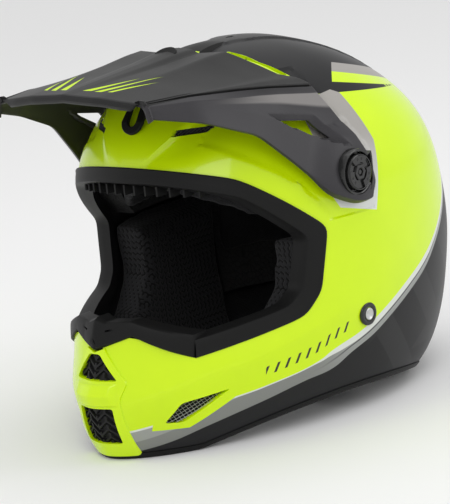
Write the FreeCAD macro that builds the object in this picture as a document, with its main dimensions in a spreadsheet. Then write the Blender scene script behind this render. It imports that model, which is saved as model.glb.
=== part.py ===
import FreeCAD, Part
import Sketcher
import math
import os
from FreeCAD import Vector

# Full-face off-road helmet with a peaked visor and a double D-ring chin strap.
# +Z up, the face looks along -Y, +X is the wearer's left. It stands on its base at Z = 0.

os.makedirs("parts", exist_ok=True)
doc = FreeCAD.newDocument("OffroadHelmet")

# ---------------------------------------------------------------- driving dimensions (mm)
sheet = doc.addObject("Spreadsheet::Sheet", "Dimensions")
dimensions = [
    ("ear_y", 33.8, "distance of the ear plane behind the origin"),
    ("crown_height", 281.0, "top of the shell above the base"),
    ("shell_half_width", 123.0, "half width of the shell at the temples"),
    ("shell_front_reach", 206.0, "ear plane to the chin bar"),
    ("shell_rear_reach", 158.0, "ear plane to the back of the shell"),
    ("shell_wall", 4.0, "thickness of the moulded shell"),
    ("layer_gap", 0.4, "gap between the layers of the lining"),
    ("liner_inner", 32.0, "depth of the impact liner's inner face below the shell's outside"),
    ("comfort_inner", 41.0, "depth of the comfort liner's inner face"),
    ("fore_aft_stretch", 1.25, "the lining is this much deeper at front and back"),
    ("liner_hem", 150.0, "lower edge of the impact liner beside the face"),
    ("liner_rear_hem", 62.0, "lower edge of the impact liner behind the ears"),
    ("pad_outer", 15.0, "depth of the cheek pad's outer face, clear of the strap"),
    ("pad_inner", 46.0, "depth of the cheek pad's inner face"),
    ("pad_bottom", 28.0, "lower edge of a cheek pad"),
    ("pad_top", 147.0, "upper edge of a cheek pad"),
    ("chin_liner_inner", 20.0, "depth of the chin bar liner"),
    ("trim_proud", 1.5, "edge trim stands this far outside the shell"),
    ("trim_depth", 14.0, "eyeport trim reaches this far inwards"),
    ("guard_proud", 3.0, "nose guard stands this far outside the shell"),
    ("guard_half_width", 60.0, "half width of the nose guard"),
    ("base_trim_height", 5.0, "height of the rubber base trim"),
    ("base_arch", 19.0, "rise of the base's edge beside the neck"),
    ("mouth_proud", 7.0, "mouth vent frame stands this far outside the shell"),
    ("mesh_thickness", 1.2, "thickness of a vent mesh"),
    ("vent_proud", 3.0, "crown vent surrounds stand this far outside the shell"),
    ("visor_wall", 2.4, "thickness of the visor"),
    ("pivot_y", -46.0, "visor pivot from the ear plane"),
    ("pivot_z", 187.5, "visor pivot above the base"),
    ("boss_inner_x", 121.0, "inner face of the wing's screw boss, just off the shell"),
    ("boss_radius", 17.0, "screw boss of a visor wing"),
    ("screw_thread_radius", 2.9, "visor screw shank"),
    ("screw_head_radius", 13.5, "finger-turned head of a visor screw"),
    ("screw_head_height", 6.0, "height of that head"),
    ("screw_face_x", 126.5, "face of the visor wing under the screw head"),
    ("screw_length", 18.0, "shank of a visor screw"),
    ("insert_face_x", 118.2, "outer end of a side insert, just proud of the shell"),
    ("running_gap", 0.3, "gap between a screw head and the face under it"),
    ("insert_radius", 6.0, "threaded insert in the shell"),
    ("insert_length", 10.0, "length of a threaded insert"),
    ("centre_screw_angle", 39.5, "centre screw above the pivot's level, in degrees"),
    ("tab_radius", 107.5, "pivot to the middle of the visor's centre tab"),
    ("tab_width", 21.0, "width of the centre tab"),
    ("tab_slot", 8.0, "width of the slot in the tab"),
    ("tab_slot_low", 28.8, "lower end of the slot above the pivot's level, in degrees"),
    ("tab_slot_sweep", 11.0, "sweep of that slot in degrees"),
    ("tab_root", 61.5, "where the tab runs into the top panel, in degrees"),
    ("tab_low", 23.5, "lower end of the tab above the pivot's level, in degrees"),
    ("rivet_y", -33.0, "strap rivet from the ear plane"),
    ("rivet_z", 76.0, "strap rivet above the base"),
    ("rivet_head_radius", 5.4, "domed head of the strap rivet"),
    ("rivet_thread_gap", 2.6, "radius of the holes round a rivet's shank"),
    ("rivet_ring_radius", 9.0, "plastic ring under the rivet head"),
    ("strap_width", 20.0, "chin strap webbing"),
    ("strap_thickness", 2.0, "thickness of the webbing"),
    ("strap_x", 105.4, "webbing at its hanger, from the middle"),
    ("strap_low_x", 95.0, "webbing under the cheek pad, from the middle"),
    ("hanger_x", 106.6, "inner face of the strap hanger"),
    ("hanger_thickness", 1.5, "steel plate that hangs the strap on its rivet"),
    ("strap_bottom", 10.0, "middle of the webbing's lowest run above the base"),
    ("ring_wire", 3.0, "D-ring wire diameter"),
    ("snap_radius", 6.0, "press stud that parks the strap's tail"),
    ("liner_snap_radius", 6.5, "press studs that hold the lining"),
]
for row, (alias, value, note) in enumerate(dimensions, start=1):
    sheet.set("A%d" % row, alias)
    sheet.set("B%d" % row, str(value))
    sheet.set("C%d" % row, note)
    sheet.setAlias("B%d" % row, alias)
doc.recompute()


def size(alias):
    return float(sheet.get(alias))


ear_y = size("ear_y")
crown_height = size("crown_height")
half_width = size("shell_half_width")
front_reach = size("shell_front_reach")
rear_reach = size("shell_rear_reach")
wall = size("shell_wall")
gap = size("layer_gap")
stretch = size("fore_aft_stretch")

# Stations of the shell's outside, from the base to the crown, measured from the ear plane:
# height, half width, front, back, widest point, and how square the front and back are
# (2 is an ellipse, less is pointed, more is squarer).
shell_stations = [
    (0, 92, -203, 100, -10, 1.70, 2.2),
    (14, 103, -209, 118, -10, 1.70, 2.2),
    (40, 112, -214, 138, -10, 1.70, 2.2),
    (80, 118, -206, 150, -8, 1.72, 2.2),
    (115, 121, -194, 153, -5, 1.82, 2.2),
    (150, 123, -180, 147, -5, 1.97, 2.2),
    (185, 121, -166, 136, -5, 2.10, 2.2),
    (213, 112, -153, 121, -8, 2.15, 2.2),
    (240, 95, -134, 92, -12, 2.20, 2.2),
    (262, 72, -108, 54, -17, 2.20, 2.2),
    (275, 45, -78, 20, -22, 2.15, 2.2),
    (281, 14, -44, -8, -25, 2.10, 2.1),
]
crown_from = 100.0      # above this height the layers are also nested in height
points_half = 18


def power(value, exponent):
    return math.copysign(abs(value) ** exponent, value)


def nested(depth, deeper=1.0, floor_drop=0.0):
    """Solid bounded by the shell's outside moved inwards by depth (outwards if negative)."""
    across = (half_width - depth) / half_width
    forward = (front_reach - depth * deeper) / front_reach
    backward = (rear_reach - depth * deeper) / rear_reach
    upward = (crown_height - crown_from - depth) / (crown_height - crown_from)
    wires = []
    for z, w, front, rear, widest, front_power, rear_power in shell_stations:
        height = z if z <= crown_from else crown_from + (z - crown_from) * upward
        if z == 0:
            height -= floor_drop
        halves = []
        for side in (1, -1):
            points = []
            for k in range(points_half + 1):
                turn = -math.pi / 2 + math.pi * k / points_half
                ahead = math.sin(turn) < 0
                exponent = 2 / (front_power if ahead else rear_power)
                x = side * w * across * power(abs(math.cos(turn)), exponent)
                reach = (widest - front) * forward if ahead else (rear - widest) * backward
                y = widest + reach * power(math.sin(turn), exponent)
                points.append(Vector(x if 0 < k < points_half else 0, y + ear_y, height))
            curve = Part.BSplineCurve()
            knots = [k / points_half for k in range(points_half + 1)]
            curve.interpolate(Points=points, Parameters=knots)
            halves.append(curve.toShape())
        wires.append(Part.Wire([halves[0], halves[1].reversed()]))
    return Part.makeLoft(wires, True, False)


def side_prism(outline, x_from=-150.0, x_to=150.0):
    """Prism along X from an outline of (y, z) points measured from the ear plane."""
    points = [Vector(x_from, y + ear_y, z) for y, z in outline]
    face = Part.Face(Part.makePolygon(points + points[:1]))
    return face.extrude(Vector(x_to - x_from, 0, 0))


def front_prism(outline, y_from=-250.0, y_to=-60.0):
    """Prism along Y from an outline of (x, z) points."""
    points = [Vector(x, y_from + ear_y, z) for x, z in outline]
    face = Part.Face(Part.makePolygon(points + points[:1]))
    return face.extrude(Vector(0, y_to - y_from, 0))


def plan_prism(outline, z_from=200.0, z_to=320.0):
    """Prism along Z from an outline of (x, y) points measured from the ear plane."""
    points = [Vector(x, y + ear_y, z_from) for x, y in outline]
    face = Part.Face(Part.makePolygon(points + points[:1]))
    return face.extrude(Vector(0, 0, z_to - z_from))


def block(x0, x1, y0, y1, z0, z1):
    return Part.makeBox(x1 - x0, y1 - y0, z1 - z0, Vector(x0, y0 + ear_y, z0))


def mirrored(outline):
    return [(-a, b) for a, b in reversed(outline)]


def grown(outline, amount):
    """The outline moved outwards all round by amount (inwards if negative)."""
    wire = Part.makePolygon([Vector(a, b, 0) for a, b in outline + outline[:1]])
    moved = wire.makeOffset2D(amount, 2)
    return [(v.Point.x, v.Point.y) for v in moved.OrderedVertexes]


sub_parts = []


def keep(name, shape):
    """A computed sub-part: its sizes come from the sheet through the functions above."""
    item = doc.addObject("Part::Feature", name)
    item.Label = name
    item.Shape = shape
    sub_parts.append(item)
    return item


def whole(shape):
    """Solids of a boolean's result, as one solid or a compound of them, crumbs left out."""
    solids = [s for s in shape.Solids if s.Volume > 1.0]
    return solids[0] if len(solids) == 1 else Part.makeCompound(solids)


# ---------------------------------------------------------------- outlines
far = 250.0
eyeport = [(-far, 216), (-166, 212), (-125, 197), (-69, 151), (-76, 104), (-90, 88),
           (-167, 73), (-195, 93), (-far, 93)]
eyeport_lip = [(-far, 200), (-158, 197), (-126, 184), (-84, 146), (-90, 108), (-101, 98),
               (-165, 86), (-195, 105), (-far, 105)]
guard_tip = [(-28, 94), (-28, 93), (0, 83), (28, 93), (28, 94)]
side_vent = [(-187, 27), (-178, 41), (-147, 46), (-176, 26)]
brow_slot = [(34, 228), (34, 232.5), (57, 233.5), (55, 229.5)]
crown_vent = [(22, -72), (28, -59), (56, -57), (77, -47), (82, -51), (79, -59), (39, -71)]
crown_duct = [(-18, -66), (-18, -77), (-12, -79), (12, -79), (18, -77), (18, -66), (10, -30), (-10, -30)]
mouth_frame = [(-6, 88), (-26, 60), (-21, 48), (-24, 3), (24, 3), (21, 48), (26, 60), (6, 88)]
mouth_upper = [(-5, 81), (-20, 62), (20, 62), (5, 81)]
mouth_lower = [(-16, 42), (-17, 14), (17, 14), (16, 42)]
rear_vent = [(34, 205), (34, 193), (66, 193), (60, 205)]


def arch_region(lift):
    """Everything above the base's edge, which rises in one arc beside the neck."""
    start, end, rise = -160.0, 75.0, size("base_arch")
    foot = Vector(-150, start + ear_y, lift)
    top = Vector(-150, (start + end) / 2 + ear_y, lift + rise)
    heel = Vector(-150, end + ear_y, lift)
    corners = [heel, Vector(-150, far + ear_y, lift), Vector(-150, far + ear_y, 400),
               Vector(-150, -far + ear_y, 400), Vector(-150, -far + ear_y, lift), foot]
    edges = [Part.Arc(foot, top, heel).toShape()]
    edges += [Part.makeLine(a, b) for a, b in zip(corners, corners[1:])]
    return Part.Face(Part.Wire(edges)).extrude(Vector(300, 0, 0))


eyeport_hole = side_prism(eyeport)
lip_hole = side_prism(eyeport_lip)
tip_hole = front_prism(guard_tip)
above_base = arch_region(0.0)
above_trim = arch_region(size("base_trim_height"))
shell_outside = nested(0.0)
shell_inside = nested(wall, floor_drop=5.0)
lining_outside = nested(wall + gap, floor_drop=5.0)


# ---------------------------------------------------------------- shell and its openings
def make_shell():
    shape = shell_outside.cut(shell_inside).common(above_trim)
    holes = [eyeport_hole, tip_hole, front_prism(grown(mouth_frame, gap / 2), y_to=-150)]
    for outline in (side_vent,):
        holes.append(side_prism(outline))
    for outline in (brow_slot, mirrored(brow_slot)):
        holes.append(front_prism(outline))
    for outline in (crown_vent, mirrored(crown_vent), crown_duct):
        holes.append(plan_prism(outline, z_from=240))
    for outline in (rear_vent, mirrored(rear_vent)):
        holes.append(front_prism(outline, y_from=60, y_to=180))
    axis = Vector(1, 0, 0)
    pivot_foot = Vector(-150, size("pivot_y") + ear_y, size("pivot_z"))
    holes.append(Part.makeCylinder(size("insert_radius") + 0.05, 300, pivot_foot, axis))
    rivet_foot = Vector(-150, size("rivet_y") + ear_y, size("rivet_z"))
    holes.append(Part.makeCylinder(size("rivet_thread_gap"), 300, rivet_foot, axis))
    holes.append(centre_axis_cylinder(size("insert_radius") + 0.05, 90, 125))
    return whole(shape.cut(holes))


def centre_axis_cylinder(radius, start, end):
    """Cylinder along the centre screw's axis, between two distances from the visor pivot."""
    angle = math.radians(size("centre_screw_angle"))
    direction = Vector(0, -math.cos(angle), math.sin(angle))
    pivot = Vector(0, size("pivot_y") + ear_y, size("pivot_z"))
    return Part.makeCylinder(radius, end - start, pivot + direction * start, direction)


keep("outer_shell", make_shell())


# ---------------------------------------------------------------- lining
def make_impact_liner():
    inner = nested(size("liner_inner"), stretch, floor_drop=5.0)
    shape = lining_outside.cut(inner)
    shape = shape.cut(block(-150, 150, -far, 27, -20, size("liner_hem")))
    shape = shape.cut(block(-150, 150, -far, far, -20, size("liner_rear_hem")))
    shape = shape.cut([eyeport_hole, plan_prism(grown(crown_duct, 1), z_from=270),
                       centre_axis_cylinder(size("insert_radius") + gap, 80, 125)])
    sides = [Part.makeCylinder(size("insert_radius") + gap, 300,
                               Vector(-150, size("pivot_y") + ear_y, size("pivot_z")), Vector(1, 0, 0))]
    return whole(shape.cut(sides))


def make_comfort_liner():
    outer = nested(size("liner_inner") + gap, stretch, floor_drop=5.0)
    inner = nested(size("comfort_inner"), stretch, floor_drop=6.0)
    brow = [(y, z - 14) for y, z in eyeport]
    shape = outer.cut(inner)
    shape = shape.cut(block(-150, 150, -far, 27, -20, size("liner_hem") + 6))
    shape = shape.cut(block(-150, 150, -far, far, -20, size("liner_rear_hem") + 30))
    return whole(shape.cut(side_prism(brow)))


def make_cheek_pad(side):
    outer = nested(size("pad_outer"), floor_drop=5.0)
    inner = nested(size("pad_inner"), floor_drop=6.0)
    bottom, top = size("pad_bottom"), size("pad_top")
    outline = [(-119, bottom), (-124, 66), (-96, 92), (-84, 106), (-79, top), (24, top), (24, bottom)]
    shape = outer.cut(inner).common(side_prism(outline, min(0, 150 * side), max(0, 150 * side)))
    channel = [(90.0 * side, bottom - 2), (101.5 * side, 70), (140 * side, 70), (140 * side, bottom - 2)]
    swing = size("strap_width") / 2 + 12
    rivet_y = size("rivet_y")
    return whole(shape.cut(front_prism(channel, rivet_y - swing, rivet_y + swing)))


def make_chin_liner():
    inner = nested(size("chin_liner_inner"), floor_drop=6.0)
    region = block(-150, 150, -far, -127, 15, 70).cut(block(-30, 30, -far, -185, 0, 100))
    return whole(lining_outside.cut(inner).common(region))


def make_neck_roll():
    inner = nested(26.0, floor_drop=6.0)
    region = block(-150, 150, 28, far, 18, 60)
    return whole(lining_outside.cut(inner).common(region))


keep("impact_liner", make_impact_liner())
keep("comfort_liner", make_comfort_liner())
keep("cheek_pad_left", make_cheek_pad(1))
keep("cheek_pad_right", make_cheek_pad(-1))
keep("chin_bar_liner", make_chin_liner())
keep("neck_roll", make_neck_roll())


# ---------------------------------------------------------------- trims and vents
def make_eyeport_trim():
    band = nested(-size("trim_proud")).cut(nested(size("trim_depth"), floor_drop=5.0))
    side = size("guard_half_width") + gap / 2
    shape = band.common(eyeport_hole.cut(lip_hole))
    return whole(shape.cut(block(-side, side, -far, -100, 0, 130)))


def make_nose_guard():
    band = nested(-size("guard_proud")).cut(nested(10.0, floor_drop=5.0))
    side = size("guard_half_width")
    outline = [(-side, 60), (side, 60), (side, 91), (27, 104), (8, 103), (0, 107), (-8, 103),
               (-27, 104), (-side, 91)]
    region = front_prism(outline).common(eyeport_hole.fuse(tip_hole))
    return whole(band.common(region))


def make_base_trim():
    band = nested(-1.0).cut(nested(wall + 1.5, floor_drop=5.0))
    return whole(band.common(above_base.cut(above_trim)))


def make_mouth_frame():
    band = nested(-size("mouth_proud")).cut(nested(6.0, floor_drop=5.0))
    shape = band.common(front_prism(mouth_frame, y_to=-150)).common(block(-60, 60, -far, -150, 5, 90))
    windows = [front_prism(mouth_upper), front_prism(mouth_lower)]
    return whole(shape.cut(windows + [front_prism(grown(guard_tip, gap))]))


def make_mesh(depth, region):
    band = nested(depth).cut(nested(depth + size("mesh_thickness"), floor_drop=5.0))
    return whole(band.common(region))


def make_crown_vent(outline):
    band = nested(-size("vent_proud")).cut(nested(wall, floor_drop=5.0))
    ring = plan_prism(grown(outline, -gap / 4), z_from=240).cut(
        plan_prism(grown(outline, -2.6), z_from=240))
    return whole(band.common(ring))


def make_duct():
    band = nested(-size("vent_proud")).cut(nested(wall, floor_drop=5.0))
    mouth = block(-14, 14, -82, -70, 270, 281.5)
    return whole(band.common(plan_prism(grown(crown_duct, -gap / 4), z_from=270)).cut(mouth))


keep("eyeport_trim", make_eyeport_trim())
keep("nose_guard", make_nose_guard())
keep("base_trim", make_base_trim())
keep("mouth_vent_frame", make_mouth_frame())
keep("mouth_vent_grille_upper", make_mesh(-1.0, front_prism(mouth_upper)))
keep("mouth_vent_grille_lower", make_mesh(-1.0, front_prism(mouth_lower)))
side_vent_mesh = make_mesh(2.0, side_prism(grown(side_vent, -gap / 4)))
keep("side_vent_mesh_left", [s for s in side_vent_mesh.Solids if s.CenterOfMass.x > 0][0])
keep("side_vent_mesh_right", [s for s in side_vent_mesh.Solids if s.CenterOfMass.x < 0][0])
brow_region = front_prism(brow_slot).fuse(front_prism(mirrored(brow_slot)))
keep("brow_vent_mesh", make_mesh(2.0, brow_region))
keep("crown_vent_surround_left", make_crown_vent(crown_vent))
keep("crown_vent_surround_right", make_crown_vent(mirrored(crown_vent)))
inner_vents = [plan_prism(grown(o, -2.8), z_from=240) for o in (crown_vent, mirrored(crown_vent))]
keep("crown_vent_mesh", make_mesh(1.2, inner_vents[0].fuse(inner_vents[1])))
keep("crown_duct", make_duct())
rear_regions = [front_prism(o, y_from=60, y_to=180) for o in (rear_vent, mirrored(rear_vent))]
keep("rear_vent_grilles", make_mesh(1.0, rear_regions[0].fuse(rear_regions[1])))


# ---------------------------------------------------------------- visor
# Half of the visor's outside at stations along Y: middle, shoulder, crease, wing knee and hem,
# each (x, z). The crease is the edge between the top panel and the wing.
visor_stations = {
    -214: ((0, 271.5), (34, 269.5), (68, 265), (69.5, 262), (69.5, 258.5)),
    -165: ((0, 276), (38, 273.5), (82, 265.5), (90, 256), (95, 246)),
    -122: ((0, 280), (40, 277.5), (91, 262.5), (101, 246), (106, 229)),
    -95: ((0, 283.5), (42, 280.5), (95, 259.5), (108, 233), (115, 203)),
    -72: ((0, 285), (44, 281.5), (96, 256), (113, 219), (123, 179)),
    -46: ((0, 285), (46, 281.5), (95, 252), (118.5, 212), (127.5, 168)),
    -28: ((0, 285), (46, 281.5), (94, 250), (119, 212), (128, 167)),
}
visor_inwards = ((0, -1), (0, -1), (-0.8, -1), (-1, 0), (-1, 0))
visor_plan = [(0, -209), (30, -208.5), (52, -206), (70, -202), (140, -202), (140, -30), (127, -30),
              (93, -47), (80, -60), (65, -67), (45, -75), (22, -79), (0, -79)]
wing_window = [(-105, 240), (-64, 231), (-43, 205.5), (-66, 214)]


def visor_section(y, half):
    thickness = size("visor_wall")
    inner = [(x + dx * thickness, z + dz * thickness) for (x, z), (dx, dz) in zip(half, visor_inwards)]
    right_side = half + tuple(reversed(inner))
    left_outer = [(-x, z) for x, z in half[1:]]
    left_inner = [(-x, z) for x, z in inner[1:]]
    loop = list(reversed(left_outer)) + list(right_side[:5]) + list(reversed(inner)) + left_inner
    points = [Vector(x, y + ear_y, z) for x, z in loop]
    return Part.makePolygon(points + points[:1])


def pivot_point(radius, degrees, x=0.0):
    """Point at a radius and an angle above the level of the visor's pivot, ahead of it."""
    angle = math.radians(degrees)
    return Vector(x, size("pivot_y") + ear_y - radius * math.cos(angle),
                  size("pivot_z") + radius * math.sin(angle))


def pivot_sector(inner, outer, low, high, x0, x1):
    """Part of a ring about the pivot's axis, between two radii, two angles and two widths."""
    middle = (low + high) / 2
    near = Part.Arc(pivot_point(inner, low, x0), pivot_point(inner, middle, x0),
                    pivot_point(inner, high, x0)).toShape()
    distant = Part.Arc(pivot_point(outer, high, x0), pivot_point(outer, middle, x0),
                       pivot_point(outer, low, x0)).toShape()
    ends = [Part.makeLine(pivot_point(inner, high, x0), pivot_point(outer, high, x0)),
            Part.makeLine(pivot_point(outer, low, x0), pivot_point(inner, low, x0))]
    return Part.Face(Part.Wire([near, ends[0], distant, ends[1]])).extrude(Vector(x1 - x0, 0, 0))


def radial_cylinder(radius, degrees, start, end):
    foot = pivot_point(start, degrees)
    return Part.makeCylinder(radius, end - start, foot, pivot_point(end, degrees) - foot)


def make_visor_tab():
    middle, half = size("tab_radius"), size("tab_width") / 2
    inner, outer = middle - 1.2, middle + 1.2
    round_sweep = math.degrees(half / middle)
    low = size("tab_low") + round_sweep
    tab = pivot_sector(inner, outer, low, size("tab_root"), -half, half)
    end_ring = pivot_sector(inner, outer, size("tab_low") - 2, low + 1, -half, half)
    tab = tab.fuse(end_ring.common(radial_cylinder(half, low, inner - 10, outer + 10)))
    slot_half, slot_low = size("tab_slot") / 2, size("tab_slot_low")
    slot_high = slot_low + size("tab_slot_sweep")
    slot = [pivot_sector(inner - 5, outer + 5, slot_low, slot_high, -slot_half, slot_half),
            radial_cylinder(slot_half, slot_low, inner - 10, outer + 10),
            radial_cylinder(slot_half, slot_high, inner - 10, outer + 10)]
    return tab.cut(slot)


def make_visor():
    sections = [visor_section(y, half) for y, half in sorted(visor_stations.items())]
    shape = Part.makeLoft(sections, True, True)
    outline = visor_plan + [(-x, y) for x, y in reversed(visor_plan[1:-1])]
    shape = shape.common(plan_prism(outline, z_from=100))
    shape = shape.cut(side_prism(wing_window))
    shape = shape.fuse(make_visor_tab())
    pivot_y, pivot_z = size("pivot_y") + ear_y, size("pivot_z")
    inner_x, face_x = size("boss_inner_x"), size("screw_face_x")
    for side in (1, -1):
        axis = Vector(side, 0, 0)
        boss = Part.makeCylinder(size("boss_radius"), face_x - inner_x,
                                 Vector(inner_x * side, pivot_y, pivot_z), axis)
        pocket = Part.makeCylinder(size("screw_head_radius") + 1, 10,
                                   Vector(face_x * side, pivot_y, pivot_z), axis)
        hole = Part.makeCylinder(size("screw_thread_radius") + 0.35, 60,
                                 Vector(80 * side, pivot_y, pivot_z), axis)
        shape = shape.fuse(boss).cut([pocket, hole])
    return whole(shape)


keep("visor", make_visor())


# ---------------------------------------------------------------- turned and stamped hardware
def plane_of(body, role):
    return [f for f in body.Origin.OriginFeatures if f.Role == role][0]


def bound_profile(body, name, corners):
    """Closed outline on the body's XZ plane; each corner is a pair of sheet expressions."""
    sketch = body.newObject("Sketcher::SketchObject", name)
    sketch.AttachmentSupport = [(plane_of(body, "XZ_Plane"), "")]
    sketch.MapMode = "FlatFace"
    values = [tuple(sheet_value(e) for e in corner) for corner in corners]
    for (x0, y0), (x1, y1) in zip(values, values[1:] + values[:1]):
        sketch.addGeometry(Part.LineSegment(Vector(x0, y0, 0), Vector(x1, y1, 0)), False)
    count = len(corners)
    for k in range(count):
        sketch.addConstraint(Sketcher.Constraint("Coincident", k, 2, (k + 1) % count, 1))
    for k, corner in enumerate(corners):
        for kind, axis, expression in (("DistanceX", -2, corner[0]), ("DistanceY", -1, corner[1])):
            if expression == "0":
                sketch.addConstraint(Sketcher.Constraint("PointOnObject", k, 1, axis))
                continue
            value = sheet_value(expression)
            index = sketch.addConstraint(Sketcher.Constraint(kind, -1, 1, k, 1, value))
            sketch.setExpression("Constraints[%d]" % index, expression)
    return sketch


def sheet_value(expression):
    return float(doc.Dimensions.evalExpression(expression.replace("Dimensions.", "")))


def turned(name, corners):
    """A turned piece: its outline of (along the axis, radius) spun about the body's X axis."""
    body = doc.addObject("PartDesign::Body", name)
    body.Label = name
    sketch = bound_profile(body, name + "_profile", corners)
    spin = body.newObject("PartDesign::Revolution", name + "_turning")
    spin.Profile = sketch
    spin.ReferenceAxis = (sketch, ["H_Axis"])
    spin.Angle = 360
    doc.recompute()
    return body


def facing(side, x, y, z):
    """Placement at a point, with the piece's +X pointing out of the helmet's side."""
    turn = FreeCAD.Rotation(Vector(0, 0, 1), 0 if side > 0 else 180)
    return FreeCAD.Placement(Vector(x * side, y + ear_y, z), turn)


def add_visor_screw(name, side):
    """Finger-turned screw: a round head with three finger recesses round a hexagon socket."""
    head, tall = "Dimensions.screw_head_radius", "Dimensions.screw_head_height"
    shank, length = "Dimensions.screw_thread_radius", "Dimensions.screw_length"
    body = turned(name, [("0", "0"), ("0", shank), (length, shank), (length, head),
                         (length + " + " + tall + " - 1.2", head),
                         (length + " + " + tall, head + " - 1.2"), (length + " + " + tall, "0")])
    sketch = body.newObject("Sketcher::SketchObject", name + "_recesses")
    sketch.AttachmentSupport = [(plane_of(body, "YZ_Plane"), "")]
    sketch.MapMode = "FlatFace"
    sketch.AttachmentOffset = FreeCAD.Placement(Vector(0, 0, size("screw_length") + size("screw_head_height")),
                                                FreeCAD.Rotation())
    for k in range(3):
        angle = math.radians(90 + 120 * k)
        centre = Vector(8.2 * math.cos(angle), 8.2 * math.sin(angle), 0)
        sketch.addGeometry(Part.Circle(centre, Vector(0, 0, 1), 3.4), False)
    socket = [Vector(3.2 * math.cos(math.radians(60 * k)), 3.2 * math.sin(math.radians(60 * k)), 0)
              for k in range(6)]
    for k in range(6):
        sketch.addGeometry(Part.LineSegment(socket[k], socket[(k + 1) % 6]), False)
    doc.recompute()
    full = body.Shape.Volume
    pocket = body.newObject("PartDesign::Pocket", name + "_finger_recesses")
    pocket.Profile = sketch
    pocket.Length = 2.0
    doc.recompute()
    if body.Shape.Volume >= full - 1:
        pocket.Reversed = True
        doc.recompute()
    body.Placement = facing(side, size("screw_face_x") + size("running_gap") - size("screw_length"),
                            size("pivot_y"), size("pivot_z"))
    sub_parts.append(body)


def add_centre_screw():
    name = "centre_screw"
    body = turned(name, [("0", "0"), ("0", "2.5"), ("12", "2.5"), ("12", "6"), ("13.6", "6"),
                         ("15", "4.4"), ("15", "2"), ("13", "2"), ("13", "0")])
    angle = size("centre_screw_angle")
    seat = size("tab_radius") + 1.2
    turn = FreeCAD.Rotation(Vector(0, 0, 1), -90).multiply(FreeCAD.Rotation(Vector(0, 1, 0), -angle))
    body.Placement = FreeCAD.Placement(pivot_point(seat - 12 + size("running_gap"), angle), turn)
    sub_parts.append(body)


def add_group(name, pieces):
    """Identical pieces that share a node: their shapes, each where it is placed."""
    doc.recompute()
    group = doc.addObject("Part::Compound", name)
    group.Label = name
    group.Links = pieces
    sub_parts.append(group)


def tube(name, outer, inner, length, placement):
    """Part primitives: a cylinder bound to the sheet with a bore through it, along local X."""
    turn = FreeCAD.Placement(Vector(), FreeCAD.Rotation(Vector(0, 1, 0), 90))
    pieces = []
    for suffix, radius in (("_outside", outer), ("_bore", inner)):
        cylinder = doc.addObject("Part::Cylinder", name + suffix)
        cylinder.setExpression("Radius", radius)
        cylinder.setExpression("Height", length)
        cylinder.Placement = placement.multiply(turn)
        pieces.append(cylinder)
    cut = doc.addObject("Part::Cut", name)
    cut.Base, cut.Tool = pieces
    return cut


add_visor_screw("visor_screw_left", 1)
add_visor_screw("visor_screw_right", -1)
add_centre_screw()

inserts = []
for side, label in ((1, "left"), (-1, "right")):
    spot = facing(side, size("insert_face_x") - size("insert_length"), size("pivot_y"), size("pivot_z"))
    inserts.append(tube("insert_" + label, "Dimensions.insert_radius",
                        "Dimensions.screw_thread_radius + 0.05", "Dimensions.insert_length", spot))
add_group("visor_inserts", inserts)
centre_boss = radial_cylinder(size("insert_radius"), size("centre_screw_angle"), 91, size("tab_radius") - 1.6)
keep("centre_insert", centre_boss.cut(
    radial_cylinder(2.55, size("centre_screw_angle"), 80, size("tab_radius") + 5)))

rivets = []
rivet_face, rivet_grip = 120.0, 15.4
for side, label in ((1, "left"), (-1, "right")):
    head = "Dimensions.rivet_head_radius"
    grip = str(rivet_grip)
    rivet = turned("rivet_" + label, [("0", "0"), ("0", "4"), ("1.2", "4"), ("1.2", "2.5"), (grip, "2.5"),
                                      (grip, head), ("16.4", head), ("17.6", head + " - 1.6"),
                                      ("18.2", "0")])
    rivet.Placement = facing(side, rivet_face - rivet_grip, size("rivet_y"), size("rivet_z"))
    rivets.append(rivet)
add_group("strap_rivets", rivets)


def make_rivet_ring(side):
    """Plastic ring under the rivet's head, its back fitted to the curve of the shell."""
    foot = Vector(108 * side, size("rivet_y") + ear_y, size("rivet_z"))
    length, axis = rivet_face - 108, Vector(side, 0, 0)
    ring = Part.makeCylinder(size("rivet_ring_radius"), length, foot, axis)
    bore = Part.makeCylinder(size("rivet_thread_gap"), length, foot, axis)
    return ring.cut([bore, shell_outside])


keep("rivet_rings", Part.makeCompound([make_rivet_ring(1), make_rivet_ring(-1)]))


# ---------------------------------------------------------------- chin strap
def rounded_path(corners, radii, side_shift):
    """Edges of a path of straight runs and tangent arcs, moved sideways by side_shift."""
    edges, start = [], None
    for k in range(len(corners)):
        point = Vector(corners[k][0], 0, corners[k][1])
        if 0 < k < len(corners) - 1:
            before = (point - Vector(corners[k - 1][0], 0, corners[k - 1][1])).normalize()
            after = (Vector(corners[k + 1][0], 0, corners[k + 1][1]) - point).normalize()
            turn = before.getAngle(after)
            radius = radii[k - 1]
            bend = 1 if (before.z * after.x - before.x * after.z) < 0 else -1
            normal = Vector(-before.z, 0, before.x) * bend
            reach = radius * math.tan(turn / 2)
            centre = point - before * reach + normal * radius
            moved = radius - bend * side_shift
            first = centre - normal * moved
            last = centre - Vector(-after.z, 0, after.x) * bend * moved
            middle = centre + (((first + last) / 2) - centre).normalize() * moved
            edges.append(Part.makeLine(start, first))
            edges.append(Part.Arc(first, middle, last).toShape())
            start = last
            direction = after
        elif k == 0:
            following = (Vector(corners[1][0], 0, corners[1][1]) - point).normalize()
            start = point + Vector(-following.z, 0, following.x) * side_shift
        else:
            end = point + Vector(-direction.z, 0, direction.x) * side_shift
            edges.append(Part.makeLine(start, end))
    return edges


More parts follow.
